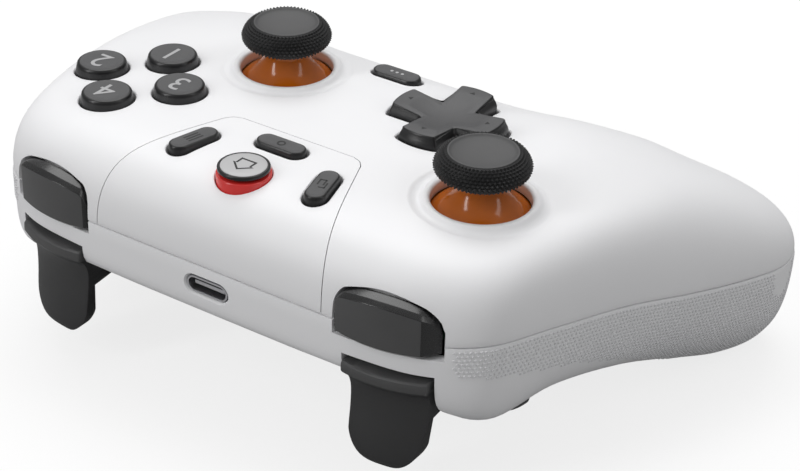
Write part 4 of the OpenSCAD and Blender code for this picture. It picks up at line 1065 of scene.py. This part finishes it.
# Face buttons: matt top, black bevel, flared skirt, plain numbers
buttonNumbers = dict(south="1", east="2", west="3", north="4")
for name, (x, y) in buttonSpots.items():
    face = sideHeight(x)
    foot = faceButton["foot"] - face
    profile = [(0, foot), (3, foot), (3, -4.4), (5.9, -4.4), (5.9, -3.4), (5.05, -3.4), (5.05, 0.1), (5.0, 0.5),
               (4.9, 0.95), (4.84, 1.2), (4.8, 1.38), (4.72, 1.62), (4.58, 1.82), (4.38, 1.93), (4.2, 1.95),
               (4.12, 1.93), (3.0, 1.96), (1.5, 1.99), (0, 2.0)]
    verts, faces = ringSkin(lathe(profile, (x, y, face)), capped=False)
    marks = ringMarks(len(faces), 96, (2, 0), (1, faceButton["edgeRing"]), (0, faceButton["topRing"]))
    settle(name + "Button", meshFrom(name + "Button", verts, faces, marks), [buttonTop, buttonSide, skirtDark],
           name + "_button", "charcoal", name + "_button", angle=35)

    def layNumber(u, v, w):
        crown = faceButton["crown"] * (1 - (u * u + v * v) / faceButton["crownReach"])
        return x + u, y + v, face + faceButton["top"] + crown + w

    mark = letterMesh(buttonNumbers[name], faceButton["number"], layNumber)
    settle(name + "Number", mark, [legendInk], name + "_button", "charcoal", angle=0)
print("face buttons made")


# Oval buttons on the face: a dark rounded edge, a matt top and a small plain sign
middleFace = dict(inner=4.6, outer=8.0)


def middleHeight(y):
    front, high, seam = bodyForm["frontY"], bodyForm["faceH"], bodyForm["seamH"]
    m = (front + bodyForm["heelY"]) / 2
    s = (y - m) / (front - m)
    z = seam - 3 + 3 * (s + 1) / 2
    fullness = middleFace["inner"] if s < 0 else middleFace["outer"]
    return z + (high - z) * math.sqrt(1 - abs(s) ** fullness)


def ringLine(r0, r1, count=24):
    outer, inner = circleLine(r1, count), circleLine(r0, count)
    return [[outer[i], outer[(i + 1) % count], inner[(i + 1) % count], inner[i]] for i in range(count)]


ovalSigns = dict(menu=[barLine(0, k, 3.2, 0.3) for k in (-0.75, 0, 0.75)],
                 view=[barLine(-0.5, 0.35, 1.9, 0.3), barLine(-0.5, -0.75, 1.9, 0.3), barLine(-1.3, -0.2, 0.3, 1.2),
                       barLine(0.5, 0.85, 1.9, 0.3), barLine(1.3, 0.3, 0.3, 1.2)],
                 capture=ringLine(0.5, 0.85), mode=[moved(circleLine(0.32, 16), k, 0) for k in (-1.2, 0, 1.2)])


def flatSign(name, shapes, lay, thick=0.03, sunk=0.02):
    skins = [ringSkin([[lay(x, y, z) for x, y in shape] for z in (-sunk, thick)]) for shape in shapes]
    return meshFrom(name, *joinSkins(skins))


for name, (x, y, degrees) in ovalSpots.items():
    face = middleHeight(y)
    line = stadiumLine(oval["length"], oval["width"], 28)
    levels = [(0.8, -5.2), (0.8, -4.2), (-0.1, -4.2), (-0.1, 0.2), (-0.14, 0.4), (-0.2, 0.62), (-0.26, 0.8),
              (-0.36, 0.92), (-0.5, 0.99), (-0.58, 0.99), (-0.64, 0.96), (-1.2, oval["top"])]
    rings = [[(px, py, face + z) for px, py in moved(grown(line, out), x, y, degrees)] for out, z in levels]
    stalk = prismCutter(moved(circleLine(oval["stalk"], 24), x, y), oval["foot"], face - 5)
    verts, faces = joinSkins([ringSkin(rings), stalk])
    marks = ringMarks(len(line) * (len(rings) - 1), len(line), (1, 0), (0, oval["topRing"]))
    marks += [1, 0] + [1] * len(stalk[1])
    mesh = meshFrom(name + "Button", verts, faces, marks)
    settle(name + "Button", mesh, [buttonTop, buttonSide], name + "_button", "charcoal", name + "_button", angle=35)
    c, s = math.cos(math.radians(degrees)), math.sin(math.radians(degrees))

    def laySign(u, v, w):
        return x + c * u - s * v, y + s * u + c * v, face + oval["top"] + w

    sign = flatSign(name + "Sign", ovalSigns[name], laySign)
    settle(name + "Sign", sign, [legendInk if name == "mode" else darkInk], name + "_button", "charcoal", angle=0)
print("oval buttons made")


# Direction pad: two levels, dished about the middle
def padTop(x, y):
    rho = math.hypot(x, y)
    bowl = pad["bowl"] - math.sqrt(max(pad["bowlR"] ** 2 - rho * rho, 1))
    soft = pad["soft"]
    h = max(soft - abs(bowl - pad["rise"]), 0) / soft
    return min(bowl, pad["rise"]) - h * h * soft / 4


def padPiece():
    x, y = padSpot
    face = sideHeight(x)
    base = padLine(0)
    lower = [(0.6, -4.3), (0.6, 0.3), (0.52, 0.7), (0.4, 1.05), (0.28, 1.3), (0.2, 1.5), (0.12, 1.7)]
    rings = [[(x + p, y + q, face + z) for p, q in padLine(out)] for out, z in lower]
    for out, drop in ((0, -0.5), (-0.05, -0.2), (-0.17, -0.07), (pad["edge"], 0.0)):
        rings.append([(x + p, y + q, face + padTop(p, q) + drop) for p, q in padLine(out)])
    last = padLine(pad["edge"])
    for share in np.linspace(0.96, 0, 25):
        rings.append([(x + p * share, y + q * share, face + padTop(p * share, q * share)) for p, q in last])
    verts, faces = ringSkin(rings, capped=False)
    marks = ringMarks(len(faces), len(base), (1, 0), (0, len(lower) + 2)) + [1]
    faces.append(tuple(range(len(base)))[::-1])
    disc = prismCutter(moved(circleLine(pad["disc"], 64), x, y), face - 5.0, face - 4.2)
    marks += [1] * len(disc[1])
    verts, faces = joinSkins([(verts, faces), disc])
    mesh = meshFrom("directionPad", verts, faces, marks)
    settle("directionPad", mesh, [buttonTop, buttonSide], "direction_pad", "charcoal", "direction_pad", angle=35)
    signs = []
    for k in range(4):
        c, s = math.cos(k * math.pi / 2), math.sin(k * math.pi / 2)
        signs.append([(c * p - s * q, s * p + c * q) for p, q in pad["arrow"]])
    mesh = flatSign("padSigns", signs, lambda u, v, w: (x + u, y + v, face + padTop(u, v) + w))
    settle("padSigns", mesh, [darkInk], "direction_pad", "charcoal", angle=0)


padPiece()
print("direction pad made")


# Home button: silver disc with a dark rim on a red light ring
def homePiece():
    y = layout["homeY"]
    face = middleHeight(y)
    ring = [(3.2, -5.3), (5.5, -5.3), (5.5, -4.5), (5.0, -4.5), (5.0, 0.38), (4.95, 0.52), (4.82, 0.6), (3.2, 0.6)]
    mesh = meshFrom("homeRing", *ringSkin(lathe(ring, (0, y, face)), looped=True))
    settle("homeRing", mesh, [redRing], "case", "light_ring", "home_light_ring", angle=40)
    foot = home["foot"] - face
    disc = [(0, foot), (2.9, foot), (2.9, 1.2), (4.66, 1.2), (4.75, 1.28), (4.75, 1.66), (4.7, 1.8), (4.56, 1.92),
            (4.36, 1.96), (4.26, 1.92), (4.2, 1.88), (4.12, 1.93), (4.0, 1.97), (2.5, 1.99), (0, 2.0)]
    verts, faces = ringSkin(lathe(disc, (0, y, face)), capped=False)
    mesh = meshFrom("homeButton", verts, faces, ringMarks(len(faces), 96, (1, 0), (0, home["topRing"])))
    settle("homeButton", mesh, [silverCap, buttonSide], "home_button", "silver_cap", "home_button", angle=35)
    house = [[(-2.3, 0.1), (0, 2.2), (2.3, 0.1), (1.75, 0.1), (0, 1.7), (-1.75, 0.1)],
             barLine(-1.5, -0.85, 0.4, 1.9), barLine(1.5, -0.85, 0.4, 1.9), barLine(0, -1.6, 2.6, 0.4)]
    sign = flatSign("homeSign", house, lambda u, v, w: (u, y + v, face + home["sign"] + w))
    settle("homeSign", sign, [darkInk], "home_button", "silver_cap", angle=0)


homePiece()
print("home button made")


# CAD nodes that keep their shape take their finish here
keptFinish = dict(
    steel=plainSteel, grey_trim=greyTrim, charcoal=buttonTop, shoulder=shoulderFace, orange=orangeGloss,
    grip_rubber=capRubber, silver_cap=silverCap, light_ring=redRing, pad_rubber=padRubber, board=boardMask,
    cell=cellFoil, white_shell=whiteShell)
slotOf = {part["node"]: part["material_slot"] for part in frame["record"]["subparts"]}
for node, item in frame["nodes"].items():
    for k in range(len(item.material_slots)):
        item.material_slots[k].material = keptFinish[slotOf[node]]


# Floor and light: brighter to the camera than to the object, and a sky that brightens upwards
stage = dict(half=3000, drop=0.05, tone=0.34, seenTone=0.95, rough=0.9, seenShare=0.78)
sky = dict(low=0.21, high=0.56, highAt=0.95, seen=1)


def floorFinish():
    finish = bpy.data.materials.new("floorWhite")
    finish.use_nodes = True
    nodes = finish.node_tree.nodes
    shader = nodes["Principled BSDF"]
    tone = addNode(nodes, "ShaderNodeMix", {}, data_type="RGBA")
    setValues(tone, {"A": (*[stage["tone"]] * 3, 1), "B": (*[stage["seenTone"]] * 3, 1)})
    setValues(shader, {"Roughness": stage["rough"]})
    glow = addNode(nodes, "ShaderNodeEmission", {"Strength": 1})
    seen = nodes.new("ShaderNodeLightPath")
    either = addNode(nodes, "ShaderNodeMath", {}, operation="MAXIMUM")
    share = addNode(nodes, "ShaderNodeMath", {}, operation="MULTIPLY")
    share.inputs[1].default_value = stage["seenShare"]
    mix = nodes.new("ShaderNodeMixShader")
    wire(finish.node_tree.links, (tone, "Result", shader, "Base Color"), (seen, "Is Camera Ray", tone, "Factor"),
         (seen, "Is Camera Ray", either, 0), (seen, "Is Transmission Ray", either, 1), (either, "Value", share, 0),
         (share, "Value", mix, "Fac"), (shader, "BSDF", mix, 1), (glow, "Emission", mix, 2),
         (mix, "Shader", nodes["Material Output"], "Surface"))
    return finish


def makeStage():
    h, z = stage["half"], -stage["drop"]
    mesh = meshFrom("floor", [(x, y, z) for x, y in rectLine(-h, h, -h, h)], [(0, 1, 2, 3)])
    mesh.materials.append(floorFinish())
    floor = newObject("floor", mesh)
    world = bpy.data.worlds.new("studio")
    world.use_nodes = True
    scene.world = world
    nodes = world.node_tree.nodes
    plain = nodes["Background"]
    setValues(plain, {"Color": (1, 1, 1, 1)})
    place = nodes.new("ShaderNodeTexCoord")
    parts = nodes.new("ShaderNodeSeparateXYZ")
    climb = addNode(nodes, "ShaderNodeMapRange", {
        "From Min": 0, "From Max": sky["highAt"], "To Min": sky["low"], "To Max": sky["high"]})
    bright = addNode(nodes, "ShaderNodeBackground", {"Strength": sky["seen"]})
    seen = nodes.new("ShaderNodeLightPath")
    mix = nodes.new("ShaderNodeMixShader")
    wire(world.node_tree.links, (place, "Generated", parts, "Vector"), (parts, "Z", climb, "Value"),
         (climb, "Result", plain, "Strength"), (seen, "Is Camera Ray", mix, "Fac"), (plain, "Background", mix, 1),
         (bright, "Background", mix, 2), (mix, "Shader", nodes["World Output"], "Surface"))


lamps = [  # name, spot, target, width, height, power
    ("overhead", (0.3, -0.4, 1.0), (0, 0, 0), 0.9, 0.9, 7.6),
    ("leftStrip", (-0.72, -0.15, 0.5), (0, 0.02, 0.04), 0.16, 0.7, 0.9),
    ("rightStrip", (0.4, 0.74, 0.5), (0, 0.02, 0.04), 0.16, 0.7, 3.0)]
makeStage()
for name, spot, target, width, height, power in lamps:
    lamp = bpy.data.lights.new(name, "AREA")
    lamp.shape = "RECTANGLE"
    lamp.size, lamp.size_y, lamp.energy = width, height, power
    holder = newObject(name, lamp)
    holder.location = spot
    holder.rotation_euler = (Vector(target) - Vector(spot)).to_track_quat("-Z", "Y").to_euler()
scene.view_settings.view_transform = "Standard"
print("stage and lamps set")
